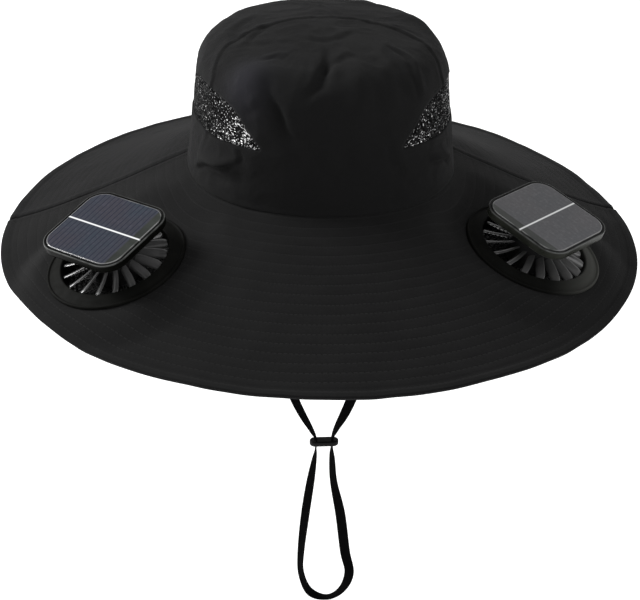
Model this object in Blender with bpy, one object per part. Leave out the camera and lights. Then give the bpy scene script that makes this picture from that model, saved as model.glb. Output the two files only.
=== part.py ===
# Solar fan hat: a sewn wide-brimmed hat with two fans let into its brim, each under its own solar panel.
# Metres, +Z up, front towards -Y. The origin is the centre of the head opening, where crown meets brim.
# An azimuth is measured round +Z from the front, positive towards +X.

import math
from collections import namedtuple

import bmesh
import bpy
import numpy as np
from mathutils import Matrix, Vector

MM = 0.001
DEG = math.pi / 180
MERGE = 1e-6  # points this close are one

# Gaps
SEWN_GAP = 0.3 * MM  # between two pieces that are sewn or seated together
RUNNING_GAP = 0.6 * MM  # round what turns on the post

# Crown
HEAD_HALF_WIDTH = 91.5 * MM  # outside of the wall at the brim seam
HEAD_HALF_LENGTH = 93.0 * MM
PLAN_POWER = 2.2  # 2 would be an ellipse, more is squarer
CROWN_HEIGHT = 97.0 * MM
CROWN_LEAN = 6.0 * MM  # how far the side comes in below the shoulder
SHOULDER_RADIUS = 27.0 * MM
TOP_SLOPE = 12.0 * DEG  # of the crown's top where it leaves the shoulder
CROWN_CLOTH = 1.6 * MM
CROWN_COLUMNS = 40
CROWN_ROWS = 11
FOLD_DEPTH = 4.0 * MM  # of a fold whose depth share is 1

# Net windows
NET_THICKNESS = 1.0 * MM
NET_COLUMNS = 8
NET_ROWS = 4
NET_STRAND = 0.2  # of a cell, left on each side of its gap

# Brim
BRIM_RADIUS = 222.2 * MM
BRIM_FORWARD = 6.4 * MM  # centre of the brim's edge in front of the head opening's
BRIM_DROP = 56.5 * MM  # from the crown seam down to the edge
BRIM_LIFT = 3.3 * MM  # the edge is this much higher at front and back, lower at the sides
BRIM_FLARE = 0.13  # how much flatter the brim is at its edge
BRIM_CLOTH = 2.0 * MM
BRIM_ROWS = 11
SIDE_SEAM_AZIMUTH = 99.0 * DEG

# Fan housing
FAN_AZIMUTH_LEFT = 59.0 * DEG
FAN_AZIMUTH_RIGHT = 61.3 * DEG
FAN_REACH = 159.0 * MM  # from the brim's centre
FAN_SHIFT = -3.6 * MM  # of both fans along X
FAN_SLOPE = 18.0 * DEG  # tips the fan outwards
FAN_RISE = 0.3 * MM  # of the middle of the flat seat over the cone of the brim
SEAT_MARGIN = 6.0 * MM  # flat cloth beyond the flange
SEAT_BLEND = 26.0 * MM  # from the flat seat back to the cone
SEAT_EDGE = 0.5  # share of the seat's pull that is left at the brim's edge
FLANGE_RADIUS = 47.2 * MM
FLANGE_EDGE = 1.4 * MM
FLANGE_HEIGHT = 4.2 * MM
OPENING_RADIUS = 36.5 * MM
SLEEVE_WALL = 1.8 * MM
SLEEVE_DEPTH = 14.0 * MM  # below the seat
LIP_WIDTH = 3.6 * MM  # of the lip that holds the cloth from below
LIP_THICKNESS = 1.5 * MM
GUARD_RIBS = 9
GUARD_RIB_WIDTH = 2.0 * MM
GUARD_THICKNESS = 4.0 * MM
GUARD_RINGS = (20.5 * MM, 28.5 * MM)
GUARD_RING_WIDTH = 1.8 * MM
GUARD_RING_INSET = 0.5 * MM  # above and below, from the ribs' faces
GUARD_SIDES = 18
RING_SIDES = 27

# Motor, post and impeller
MOTOR_RADIUS = 12.0 * MM
MOTOR_TOP = 10.0 * MM  # above the seat
POST_RADIUS = 5.0 * MM
HUB_WALL = 4.2 * MM
HUB_BOTTOM = -8.0 * MM
HUB_TOP = 15.0 * MM
HUB_ROUNDING = 3.0 * MM
BLADES = 18
BLADE_TIP_GAP = 1.2 * MM
BLADE_THICKNESS = 1.2 * MM
BLADE_ROOT_CHORD = 6.6 * MM
BLADE_TIP_CHORD = 6.6 * MM
BLADE_ROOT_PITCH = 48.0 * DEG
BLADE_TIP_PITCH = 34.0 * DEG
BLADE_ROOT_HEIGHT = 4.5 * MM  # of the blade's middle above the seat
BLADE_TIP_HEIGHT = 1.0 * MM
HUB_SIDES = 18

# Solar panel
PANEL_SIDE = 64.8 * MM
PANEL_CORNER = 14.0 * MM
PANEL_THICKNESS = 6.0 * MM
PANEL_HEIGHT = 28.3 * MM  # of its top above the seat
PANEL_TURN = 18.8 * DEG  # of its outer side towards the front
PANEL_LIFT = 3.8 * DEG  # raises its outer side, from lying parallel to the fan
PANEL_LEAN = 3.0 * DEG  # lowers its front side
PANEL_RIM = 2.0 * MM
PANEL_BEVEL = 1.6 * MM  # round its underside
PANEL_EDGE = 0.5 * MM  # small bevel round its top
CELL_THICKNESS = 1.4 * MM
CELL_PROUD = 0.3 * MM  # of the cell over the rim
CORNER_STEPS = 4

# Chin strap
STRAP_WIDTH = 8.0 * MM
STRAP_THICKNESS = 1.2 * MM
STRAP_STATIONS = 55
SLIDER_WIDTH = 22.0 * MM
SLIDER_HEIGHT = 4.2 * MM
SLIDER_WALL = 1.3 * MM
SLOT_CLEARANCE = 0.5 * MM

# The creases and dents of the crown. Azimuth and turn are in degrees, share is the height share,
# length and width are shares of CROWN_HEIGHT, and depth is a share of FOLD_DEPTH, positive outwards.
Fold = namedtuple("Fold", "azimuth share turn length width depth")
FOLDS = (
    Fold(-40, 0.52, 15, 0.26, 0.18, 1.0),
    Fold(-24, 0.40, -60, 0.32, 0.08, -1.0),
    Fold(-3, 0.60, 80, 0.30, 0.09, -1.0),
    Fold(12, 0.50, 80, 0.34, 0.12, 0.7),
    Fold(38, 0.56, 60, 0.26, 0.10, -0.6),
    Fold(-52, 0.14, 8, 0.24, 0.06, 0.9),
    Fold(-54, 0.07, 8, 0.24, 0.05, -0.8),
    Fold(56, 0.14, -10, 0.22, 0.06, 0.9),
    Fold(5, 0.20, 85, 0.26, 0.14, -0.5),
    Fold(-130, 0.35, 70, 0.36, 0.10, -0.7),
    Fold(150, 0.45, 80, 0.36, 0.14, 0.7),
    Fold(110, 0.60, 20, 0.30, 0.10, 0.8),
    Fold(-160, 0.18, 5, 0.36, 0.07, -0.8),
)

# The seam between the crown's front and back panels, seen from the side, from the brim up and over the
# top: y as a share of HEAD_HALF_LENGTH and z as a share of CROWN_HEIGHT.
SeamPoint = namedtuple("SeamPoint", "y z")
SEAM = (
    SeamPoint(-0.30, -0.12),
    SeamPoint(-0.36, 0.08),
    SeamPoint(-0.44, 0.28),
    SeamPoint(-0.48, 0.52),
    SeamPoint(-0.45, 0.75),
    SeamPoint(-0.39, 0.82),
    SeamPoint(-0.30, 0.88),
    SeamPoint(-0.19, 0.925),
    SeamPoint(-0.06, 0.955),
    SeamPoint(0.05, 0.98),
    SeamPoint(0.16, 1.005),
    SeamPoint(0.40, 1.08),
)

# A net window from its wide end to its tip: azimuth in degrees, height shares of its two edges.
VentRow = namedtuple("VentRow", "azimuth low high")
VENT = (
    VentRow(98, 0.230, 0.330),
    VentRow(84, 0.235, 0.400),
    VentRow(70, 0.240, 0.425),
    VentRow(56, 0.232, 0.415),
    VentRow(45, 0.238, 0.385),
    VentRow(37, 0.240, 0.310),
    VentRow(31, 0.242, 0.256),
)

# The strap's route from the left of the head opening to its right, in the plane Y = 0, in metres:
# x and z of its middle, the turn of its flat side from edge-on towards the front, and its width share.
StrapPoint = namedtuple("StrapPoint", "x z turn width")
STRAP = (
    StrapPoint(-0.0879, 0.0100, 0, 1.0),
    StrapPoint(-0.0884, 0.0010, 0, 1.0),
    StrapPoint(-0.0850, -0.0140, 10, 1.0),
    StrapPoint(-0.0640, -0.0700, 40, 1.0),
    StrapPoint(-0.0415, -0.1300, 44, 1.0),
    StrapPoint(-0.0155, -0.1995, 40, 1.0),
    StrapPoint(-0.0028, -0.2266, 20, 0.8),
    StrapPoint(0.0012, -0.2351, 0, 0.62),
    StrapPoint(0.0013, -0.2425, 0, 0.62),
    StrapPoint(0.0004, -0.2531, 36, 0.8),
    StrapPoint(-0.0022, -0.2749, 56, 1.0),
    StrapPoint(-0.0057, -0.3061, 62, 1.0),
    StrapPoint(-0.0085, -0.3421, 45, 1.0),
    StrapPoint(-0.0080, -0.3640, 30, 1.0),
    StrapPoint(-0.0010, -0.3825, 24, 1.0),
    StrapPoint(0.0130, -0.3888, -10, 1.0),
    StrapPoint(0.0245, -0.3815, 12, 1.0),
    StrapPoint(0.0302, -0.3650, 60, 1.0),
    StrapPoint(0.0263, -0.3435, 78, 1.0),
    StrapPoint(0.0217, -0.3072, 74, 1.0),
    StrapPoint(0.0157, -0.2755, 46, 0.9),
    StrapPoint(0.0140, -0.2531, 32, 0.8),
    StrapPoint(0.0137, -0.2425, 0, 0.62),
    StrapPoint(0.0137, -0.2351, 0, 0.62),
    StrapPoint(0.0167, -0.2266, 20, 0.8),
    StrapPoint(0.0274, -0.2008, 56, 1.0),
    StrapPoint(0.0492, -0.1300, 60, 1.0),
    StrapPoint(0.0677, -0.0700, 40, 1.0),
    StrapPoint(0.0850, -0.0140, 10, 1.0),
    StrapPoint(0.0884, 0.0010, 0, 1.0),
    StrapPoint(0.0879, 0.0100, 0, 1.0),
)
SLOTS = ((7, 8), (22, 23))  # the route points above and below the slider's middle, for each limb


def material(name, colour, roughness, metallic=0.0):
    made = bpy.data.materials.new(name)
    made.use_nodes = True
    shader = made.node_tree.nodes["Principled BSDF"]
    shader.inputs["Base Color"].default_value = (*colour, 1.0)
    shader.inputs["Roughness"].default_value = roughness
    shader.inputs["Metallic"].default_value = metallic
    return made


def add(name, points, faces, finish=None, parent=None, smooth=True):
    """An object from points and faces, with its doubles merged and its faces turned outwards."""
    mesh = bpy.data.meshes.new(name)
    mesh.from_pydata([tuple(p) for p in points], [], faces)
    work = bmesh.new()
    work.from_mesh(mesh)
    bmesh.ops.remove_doubles(work, verts=work.verts, dist=MERGE)
    bmesh.ops.dissolve_degenerate(work, edges=work.edges, dist=MERGE)
    bmesh.ops.recalc_face_normals(work, faces=work.faces)
    work.to_mesh(mesh)
    work.free()
    if smooth:
        mesh.shade_smooth()
        mesh.set_sharp_from_angle(angle=35 * DEG)
    made = bpy.data.objects.new(name, mesh)
    bpy.context.scene.collection.objects.link(made)
    if finish is not None:
        mesh.materials.append(finish)
    made.parent = parent
    return made


def helper(made):
    """Marks an object that only cuts or joins another."""
    made.hide_render = True
    made.display_type = "WIRE"
    return made


def boolean(target, other, operation):
    change = target.modifiers.new(f"{operation.lower()}_{other.name}", "BOOLEAN")
    change.operation = operation
    change.solver = "EXACT"
    change.object = other


def shell(outer, inner, wrap):
    """Points and faces of the wall between two grids of rows by columns. With wrap, the columns close round."""
    rows, columns = outer.shape[:2]
    across = columns if wrap else columns - 1
    count = rows * columns
    faces = []
    for i in range(rows - 1):
        for j in range(across):
            k = (j + 1) % columns
            a, b, c, d = i * columns + j, i * columns + k, (i + 1) * columns + k, (i + 1) * columns + j
            faces += [(a, b, c, d), (d + count, c + count, b + count, a + count)]
    for i in (0, rows - 1):
        for j in range(across):
            a, b = i * columns + j, i * columns + (j + 1) % columns
            faces.append((a, b, b + count, a + count))
    if not wrap:
        for j in (0, columns - 1):
            for i in range(rows - 1):
                a, b = i * columns + j, (i + 1) * columns + j
                faces.append((a, b, b + count, a + count))
    return np.concatenate([outer.reshape(-1, 3), inner.reshape(-1, 3)]), faces


def turned(profile, sides):
    """Points and faces of a closed (radius, height) outline turned round +Z."""
    ring = np.arange(sides) * 2 * np.pi / sides
    radius, height = np.array(profile, float).T
    points = np.stack(
        [
            radius[:, None] * np.cos(ring),
            radius[:, None] * np.sin(ring),
            height[:, None] + 0 * ring,
        ],
        -1,
    ).reshape(-1, 3)
    faces = []
    for i in range(len(profile)):
        k = (i + 1) % len(profile)
        for j in range(sides):
            m = (j + 1) % sides
            faces.append((i * sides + j, i * sides + m, k * sides + m, k * sides + j))
    return points, faces


def stacked(loops):
    """Points and faces of a solid made of outlines with equal counts, capped at the first and the last."""
    count = len(loops[0])
    faces = [tuple(range(count)), tuple(range((len(loops) - 1) * count, len(loops) * count))]
    for i in range(len(loops) - 1):
        for j in range(count):
            m = (j + 1) % count
            faces.append((i * count + j, i * count + m, (i + 1) * count + m, (i + 1) * count + j))
    return np.concatenate(loops), faces


def crown_lengths():
    """The side's height, the shoulder's sweep, the dome's half width and its height."""
    sweep = math.pi / 2 - TOP_SLOPE
    flat = HEAD_HALF_WIDTH - CROWN_LEAN - SHOULDER_RADIUS * (1 - math.cos(sweep))
    dome = flat * math.tan(TOP_SLOPE) / 2
    side = CROWN_HEIGHT - dome - SHOULDER_RADIUS * math.sin(sweep)
    return side, sweep, flat, dome


def crown_length():
    """The length of the crown's profile from the seam to the apex."""
    side, sweep, flat, _ = crown_lengths()
    return side + SHOULDER_RADIUS * sweep + flat


def plan(azimuth):
    """The crown's outline at the seam as x and y, for a half width of 1."""
    x, y = np.sin(azimuth), -np.cos(azimuth)
    scale = (np.abs(x) ** PLAN_POWER + np.abs(y) ** PLAN_POWER) ** (-1 / PLAN_POWER)
    return x * scale, y * scale * HEAD_HALF_LENGTH / HEAD_HALF_WIDTH


def fold_offset(azimuth, share):
    """How far the folds push the crown's wall outwards."""
    total = np.zeros(np.broadcast(azimuth, share).shape)
    for fold in FOLDS:
        away = (azimuth - fold.azimuth * DEG + np.pi) % (2 * np.pi) - np.pi
        across, up = away * HEAD_HALF_WIDTH, (share - fold.share) * crown_length()
        turn = fold.turn * DEG
        along = across * math.cos(turn) + up * math.sin(turn)
        side = up * math.cos(turn) - across * math.sin(turn)
        reach = (along / (fold.length * CROWN_HEIGHT)) ** 2 + (side / (fold.width * CROWN_HEIGHT)) ** 2
        total = total + fold.depth * FOLD_DEPTH * np.exp(-2 * reach)
    # The folds fade out at the brim seam and at the apex.
    return total * np.clip(share / 0.06, 0, 1) * np.clip((1 - share) / 0.3, 0, 1)


def crown_point(azimuth, share, inset):
    """Points of the crown at a height share (0 at the seam, 1 at the apex), set into the wall by inset."""
    azimuth, share = np.broadcast_arrays(np.asarray(azimuth, float), np.asarray(share, float))
    side, sweep, flat, dome = crown_lengths()
    ends = np.cumsum([side, SHOULDER_RADIUS * sweep, flat]) / crown_length()
    rise = np.clip(share / ends[0], 0, 1)
    bend = np.clip((share - ends[0]) / (ends[1] - ends[0]), 0, 1) * sweep
    top = np.clip((share - ends[1]) / (1 - ends[1]), 0, 1)
    facing = bend + top * TOP_SLOPE  # the wall's normal above the horizontal
    out = fold_offset(azimuth, share) - inset
    radius = HEAD_HALF_WIDTH - CROWN_LEAN * rise - SHOULDER_RADIUS * (1 - np.cos(bend)) - flat * top
    radius = radius + out * np.cos(facing)
    height = side * rise + SHOULDER_RADIUS * np.sin(bend) + dome * (1 - (1 - top) ** 2)
    x, y = plan(azimuth)
    return np.stack([radius * x, radius * y, height + out * np.sin(facing)], -1)


def front_space(name, widen):
    """A helper solid that fills everything in front of the crown's seam, with the seam moved back by widen."""
    line = through(SEAM, 4 * len(SEAM)) * np.array([HEAD_HALF_LENGTH, CROWN_HEIGHT])
    run = np.gradient(line, axis=0)
    run /= np.linalg.norm(run, axis=1)[:, None]
    line = line + np.stack([run[:, 1], -run[:, 0]], -1) * widen
    far = -2 * HEAD_HALF_LENGTH
    outline = np.concatenate([line, [[far, line[-1, 1]], [far, line[0, 1]]]])
    ends = [np.insert(outline, 0, x, axis=1) for x in (far, -far)]
    return helper(add(name, *stacked(ends)))


def make_crown(cloth):
    """The two crown panels. Their lower edge stands over the brim's inner edge by the sewn gap."""
    azimuth = np.linspace(0, 2 * np.pi, CROWN_COLUMNS + 1)[:-1]
    share = np.linspace(SEWN_GAP / crown_length(), 1, CROWN_ROWS)[:, None]
    outer = crown_point(azimuth, share, 0)
    inner = crown_point(azimuth, share, CROWN_CLOTH)
    front = add("crown_front", *shell(outer, inner, True), cloth)
    back = add("crown_back", *shell(outer, inner, True), cloth)
    boolean(front, front_space("keep_front", -SEWN_GAP / 2), "INTERSECT")
    boolean(back, front_space("cut_front", SEWN_GAP / 2), "DIFFERENCE")
    return front, back


def vent_patch(u, v, side, inset, margin):
    """Points of a net window: u runs from its wide end to its tip, v from its lower to its upper edge."""
    table = np.array(VENT, float)
    steps = np.linspace(0, 1, len(VENT))
    spare = margin / crown_length()
    ends = np.array([1, -1]) * margin / HEAD_HALF_WIDTH
    azimuth = np.interp(u, steps, table[:, 0]) * DEG
    azimuth = azimuth + (1 - u) * ends[1] + u * ends[0]
    low = np.interp(u, steps, table[:, 1]) + spare
    high = np.interp(u, steps, table[:, 2]) - spare
    return crown_point(side * azimuth, low + v * (high - low), inset)


def cut_vent(side, name, panels):
    """Cuts the window through the crown panels."""
    u, v = np.meshgrid(np.linspace(0, 1, NET_COLUMNS + 1), np.linspace(0, 1, NET_ROWS + 1))
    outer = vent_patch(u, v, side, -3 * CROWN_CLOTH, -SEWN_GAP)
    inner = vent_patch(u, v, side, 4 * CROWN_CLOTH, -SEWN_GAP)
    cutter = helper(add(f"cut_{name}", *shell(outer, inner, False)))
    for panel in panels:
        boolean(panel, cutter, "DIFFERENCE")


def make_vent(side, name, net):
    """The net: a sheet of cells, each with a four-sided gap cut through it."""
    u, v = np.meshgrid(np.linspace(0, 1, NET_COLUMNS + 1), np.linspace(0, 1, NET_ROWS + 1))
    du, dv = 1 / NET_COLUMNS, 1 / NET_ROWS
    keep = (NET_STRAND, 1 - NET_STRAND)
    corners = [(keep[0], keep[0]), (keep[1], keep[0]), (keep[1], keep[1]), (keep[0], keep[1])]
    gap_u = np.stack([u[:-1, :-1] + a * du for a, _ in corners], -1)
    gap_v = np.stack([v[:-1, :-1] + b * dv for _, b in corners], -1)
    sheets = []
    for inset in (0.0, NET_THICKNESS):
        # The net lies in the middle of the cloth's thickness.
        depth = (CROWN_CLOTH - NET_THICKNESS) / 2 + inset
        sheets.append(vent_patch(u, v, side, depth, 0).reshape(-1, 3))
        sheets.append(vent_patch(gap_u, gap_v, side, depth, 0).reshape(-1, 3))
    columns = NET_COLUMNS + 1
    grid, gaps = len(sheets[0]), len(sheets[1])
    back = grid + gaps
    faces = []
    for i in range(NET_ROWS):
        for j in range(NET_COLUMNS):
            corner = [i * columns + j, i * columns + j + 1, (i + 1) * columns + j + 1, (i + 1) * columns + j]
            gap = [grid + 4 * (i * NET_COLUMNS + j) + k for k in range(4)]
            for k in range(4):
                m = (k + 1) % 4
                faces.append((corner[k], corner[m], gap[m], gap[k]))
                faces.append((corner[k] + back, gap[k] + back, gap[m] + back, corner[m] + back))
                faces.append((gap[k], gap[m], gap[m] + back, gap[k] + back))
    edge = [j for j in range(columns)]
    edge += [i * columns + columns - 1 for i in range(1, NET_ROWS + 1)]
    edge += [NET_ROWS * columns + j for j in range(columns - 2, -1, -1)]
    edge += [i * columns for i in range(NET_ROWS - 1, 0, -1)]
    for k, a in enumerate(edge):
        b = edge[(k + 1) % len(edge)]
        faces.append((a, a + back, b + back, b))
    return add(name, np.concatenate(sheets), faces, net, smooth=False)


def fan_frame(side):
    """The frame of a fan: its origin on the seat's top, X outwards and downhill, Z along the fan's axis."""
    azimuth = -FAN_AZIMUTH_LEFT if side < 0 else FAN_AZIMUTH_RIGHT
    out = Vector((math.sin(azimuth), -math.cos(azimuth), 0))
    up = Vector((0, 0, math.cos(FAN_SLOPE))) + out * math.sin(FAN_SLOPE)
    foot = out * FAN_REACH + Vector((FAN_SHIFT, -BRIM_FORWARD, 0))
    share = (FAN_REACH - HEAD_HALF_WIDTH) / (BRIM_RADIUS - HEAD_HALF_WIDTH)
    foot.z = -edge_drop(azimuth) * fall(share) + FAN_RISE
    along = up.cross(out).normalized()
    turn = Matrix((along.cross(up), along, up)).transposed()
    return Matrix.Translation(foot) @ turn.to_4x4()


def edge_drop(azimuth):
    """How far the brim's edge lies below the crown seam."""
    return BRIM_DROP - BRIM_LIFT * np.cos(2 * azimuth)


def fall(share):
    """The share of the drop that is reached at a share of the brim's width."""
    return (1 + BRIM_FLARE) * share - BRIM_FLARE * share**4


def brim_point(azimuth, share, depth):
    """Points of the brim from the head opening (0) to its edge (1), depth below its top face."""
    x, y = plan(azimuth)
    inside = HEAD_HALF_WIDTH - CROWN_CLOTH
    x = inside * x * (1 - share) + BRIM_RADIUS * np.sin(azimuth) * share
    y = inside * y * (1 - share) - (BRIM_RADIUS * np.cos(azimuth) + BRIM_FORWARD) * share
    z = -edge_drop(azimuth) * fall(share)
    for side in (-1, 1):
        frame = fan_frame(side)
        centre, up = np.array(frame.translation), np.array(frame.col[2][:3])
        flat = centre[2] - ((x - centre[0]) * up[0] + (y - centre[1]) * up[1]) / up[2]
        away = np.sqrt((x - centre[0]) ** 2 + (y - centre[1]) ** 2 + (flat - centre[2]) ** 2)
        blend = np.clip((away - FLANGE_RADIUS - SEAT_MARGIN) / SEAT_BLEND, 0, 1)
        pull = 1 - blend * blend * (3 - 2 * blend)
        pull = pull * (1 - (1 - SEAT_EDGE) * np.clip(1 - (1 - share) * (BRIM_ROWS - 1), 0, 1))
        pull = pull * np.clip(share * (BRIM_ROWS - 1), 0, 1)  # none at the crown's foot
        z = z + (flat - z) * pull
    return np.stack([x, y, z - depth], -1)


def make_brim(cloth):
    """The front and the rear panel, with the sewn gap between them at each side seam."""
    panels = []
    levels = np.linspace(0, 1, BRIM_ROWS)[:, None]
    for name, start, end, columns in (
        ("brim_front", -SIDE_SEAM_AZIMUTH, SIDE_SEAM_AZIMUTH, 31),
        ("brim_rear", SIDE_SEAM_AZIMUTH, 2 * np.pi - SIDE_SEAM_AZIMUTH, 19),
    ):
        reach = HEAD_HALF_WIDTH + levels * (BRIM_RADIUS - HEAD_HALF_WIDTH)
        trim = SEWN_GAP / 2 / reach
        azimuth = (start + trim) + (end - start - 2 * trim) * np.linspace(0, 1, columns)
        outer = brim_point(azimuth, levels, 0)
        inner = brim_point(azimuth, levels, BRIM_CLOTH)
        panels.append(add(name, *shell(outer, inner, False), cloth))
    return panels


def make_ring(name, parent, plastic):
    """The fan's housing: flange, sleeve and lip turned as one, joined to a guard of ribs and rings under the blades."""
    sleeve = OPENING_RADIUS + SLEEVE_WALL
    under = -BRIM_CLOTH - SEWN_GAP
    profile = (
        (OPENING_RADIUS, FLANGE_HEIGHT),
        (sleeve, FLANGE_HEIGHT),
        (FLANGE_RADIUS - FLANGE_EDGE, SEWN_GAP + FLANGE_EDGE),
        (FLANGE_RADIUS, SEWN_GAP),
        (sleeve, SEWN_GAP),
        (sleeve, under),
        (sleeve + LIP_WIDTH, under),
        (sleeve + LIP_WIDTH, under - LIP_THICKNESS),
        (sleeve, under - LIP_THICKNESS),
        (sleeve, -SLEEVE_DEPTH),
        (OPENING_RADIUS, -SLEEVE_DEPTH),
    )
    ring = add(name, *turned(profile, RING_SIDES), plastic, parent)
    half = GUARD_RIB_WIDTH / 2
    inner, outer = MOTOR_RADIUS, OPENING_RADIUS + SLEEVE_WALL / 2
    outline = []
    for rib in range(GUARD_RIBS):
        middle = 2 * math.pi * rib / GUARD_RIBS
        for radius, side in ((inner, -1), (outer, -1), (outer, 1), (inner, 1)):
            angle = middle + side * math.asin(half / radius)
            outline.append((radius * math.cos(angle), radius * math.sin(angle)))
    floor = -SLEEVE_DEPTH
    loops = [np.array([(x, y, z) for x, y in outline]) for z in (floor, floor + GUARD_THICKNESS)]
    ribs = helper(add(f"ribs_{name}", *stacked(loops), parent=parent))
    boolean(ring, ribs, "UNION")
    low, high = floor + GUARD_RING_INSET, floor + GUARD_THICKNESS - GUARD_RING_INSET
    for count, radius in enumerate(GUARD_RINGS):
        inside, outside = radius - GUARD_RING_WIDTH / 2, radius + GUARD_RING_WIDTH / 2
        hoop = ((inside, low), (outside, low), (outside, high), (inside, high))
        hoop = helper(add(f"hoop_{count}_{name}", *turned(hoop, GUARD_SIDES), parent=parent))
        boolean(ring, hoop, "UNION")
    return ring


def panel_tilt(side):
    """The lift and the lean of a panel about the middle of its underside, in the fan's frame."""
    pivot = Vector((0, 0, PANEL_HEIGHT - PANEL_THICKNESS))
    tilt = Matrix.Rotation(-PANEL_LIFT, 4, "Y") @ Matrix.Rotation(side * PANEL_LEAN, 4, "X")
    return Matrix.Translation(pivot) @ tilt @ Matrix.Translation(-pivot)


def make_post(side, name, parent, plastic):
    """The motor can on the guard, and the post from it to the tilted underside of the solar panel."""
    foot = -SLEEVE_DEPTH + GUARD_THICKNESS + SEWN_GAP
    top = PANEL_HEIGHT - PANEL_THICKNESS - SEWN_GAP
    profile = (
        (0, foot),
        (MOTOR_RADIUS, foot),
        (MOTOR_RADIUS, MOTOR_TOP),
        (POST_RADIUS, MOTOR_TOP),
        (POST_RADIUS, top),
        (0, top),
    )
    points, faces = turned(profile, HUB_SIDES)
    facing = panel_tilt(side).col[2]
    slope = -(points[:, 0] * facing[0] + points[:, 1] * facing[1]) / facing[2]
    points[:, 2] += np.where(np.isclose(points[:, 2], top), slope, 0)
    return add(name, points, faces, plastic, parent)


def blade(index):
    """Points and faces of one blade, whose chord rises anticlockwise seen from above."""
    hub = MOTOR_RADIUS + RUNNING_GAP + HUB_WALL
    root, tip = hub - HUB_WALL / 3, OPENING_RADIUS - BLADE_TIP_GAP
    angle = 2 * math.pi * index / BLADES
    out = np.array([math.cos(angle), math.sin(angle), 0])
    along = np.array([-math.sin(angle), math.cos(angle), 0])
    up = np.array([0, 0, 1.0])
    loops = []
    for share in (0.0, 0.85, 1.0):
        radius = root + share * (tip - root)
        chord = BLADE_ROOT_CHORD + share * (BLADE_TIP_CHORD - BLADE_ROOT_CHORD)
        chord *= 0.8 if share == 1.0 else 1.0  # the tip's corners are cut back
        pitch = BLADE_ROOT_PITCH + share * (BLADE_TIP_PITCH - BLADE_ROOT_PITCH)
        height = BLADE_ROOT_HEIGHT + share * (BLADE_TIP_HEIGHT - BLADE_ROOT_HEIGHT)
        run = along * math.cos(pitch) + up * math.sin(pitch)
        face = up * math.cos(pitch) - along * math.sin(pitch)
        middle = out * radius + up * height
        half, thick = run * chord / 2, face * BLADE_THICKNESS / 2
        loops.append(np.array([middle - half - thick, middle + half - thick, middle + half + thick, middle - half + thick]))
    return stacked(loops)


def make_impeller(name, parent, plastic):
    """The hub, a cup over the motor with a bore round the post, and its ring of blades."""
    cup = MOTOR_RADIUS + RUNNING_GAP
    hub = cup + HUB_WALL
    bore = POST_RADIUS + RUNNING_GAP
    roof = MOTOR_TOP + RUNNING_GAP
    profile = (
        (bore, roof),
        (cup, roof),
        (cup, HUB_BOTTOM),
        (hub, HUB_BOTTOM),
        (hub, HUB_TOP - HUB_ROUNDING),
        (hub - HUB_ROUNDING * 0.3, HUB_TOP - HUB_ROUNDING * 0.3),
        (hub - HUB_ROUNDING, HUB_TOP),
        (bore, HUB_TOP),
    )
    impeller = add(name, *turned(profile, HUB_SIDES), plastic, parent)
    points, faces = [], []
    for index in range(BLADES):
        some, sides = blade(index)
        faces += [tuple(k + len(points) for k in face) for face in sides]
        points += list(some)
    blades = helper(add(f"blades_{name}", points, faces, parent=parent))
    boolean(impeller, blades, "UNION")
    return impeller


def rounded_square(side, corner, height):
    """The outline of a square with round corners, at a height."""
    points = []
    for quarter in range(4):
        for step in range(CORNER_STEPS + 1):
            angle = (quarter + step / CORNER_STEPS) * math.pi / 2
            turn = quarter * math.pi / 2 + math.pi / 4
            centre = (side / 2 - corner) * math.sqrt(2)
            x = centre * math.cos(turn) + corner * math.cos(angle)
            y = centre * math.sin(turn) + corner * math.sin(angle)
            points.append((x, y, height))
    return np.array(points)


def inset_square(inset, height):
    """The solar panel's outline set in by inset."""
    return rounded_square(PANEL_SIDE - 2 * inset, PANEL_CORNER - inset, height)


def make_panel(frame_name, cell_name, parent, plastic, cell_finish):
    """The tray and, in its recess, the solar cell."""
    bottom, top = PANEL_HEIGHT - PANEL_THICKNESS, PANEL_HEIGHT
    floor = top + CELL_PROUD - CELL_THICKNESS - SEWN_GAP
    loops = [
        inset_square(PANEL_BEVEL, bottom),
        inset_square(0, bottom + PANEL_BEVEL),
        inset_square(0, top - PANEL_EDGE),
        inset_square(PANEL_EDGE, top),
        inset_square(PANEL_RIM, top),
        inset_square(PANEL_RIM, floor),
    ]
    add(frame_name, *stacked(loops), plastic, parent)
    lip = PANEL_RIM + SEWN_GAP
    bevel = PANEL_EDGE / 2
    loops = [
        inset_square(lip, floor + SEWN_GAP),
        inset_square(lip, top + CELL_PROUD - bevel),
        inset_square(lip + bevel, top + CELL_PROUD),
    ]
    add(cell_name, *stacked(loops), cell_finish, parent)


def make_fan(side, word, brim, finishes):
    """One fan with its panel, on an empty at the fan's frame, and its hole in the brim."""
    frame = bpy.data.objects.new(f"fan_{word}", None)
    bpy.context.scene.collection.objects.link(frame)
    frame.matrix_world = fan_frame(side)
    sleeve = OPENING_RADIUS + SLEEVE_WALL + SEWN_GAP
    deep = SLEEVE_DEPTH
    profile = ((0, -deep), (sleeve, -deep), (sleeve, deep), (0, deep))
    cutter = helper(add(f"cut_fan_{word}", *turned(profile, RING_SIDES), parent=frame))
    boolean(brim, cutter, "DIFFERENCE")
    make_ring(f"fan_ring_{word}", frame, finishes["housing"])
    make_post(side, f"fan_post_{word}", frame, finishes["housing"])
    make_impeller(f"impeller_{word}", frame, finishes["blades"])
    panel = bpy.data.objects.new(f"panel_{word}", None)
    bpy.context.scene.collection.objects.link(panel)
    panel.parent = frame
    panel.matrix_basis = panel_tilt(side) @ Matrix.Rotation(-side * PANEL_TURN, 4, "Z")
    make_panel(f"solar_frame_{word}", f"solar_cell_{word}", panel, finishes["tray"], finishes["cell"])


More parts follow.
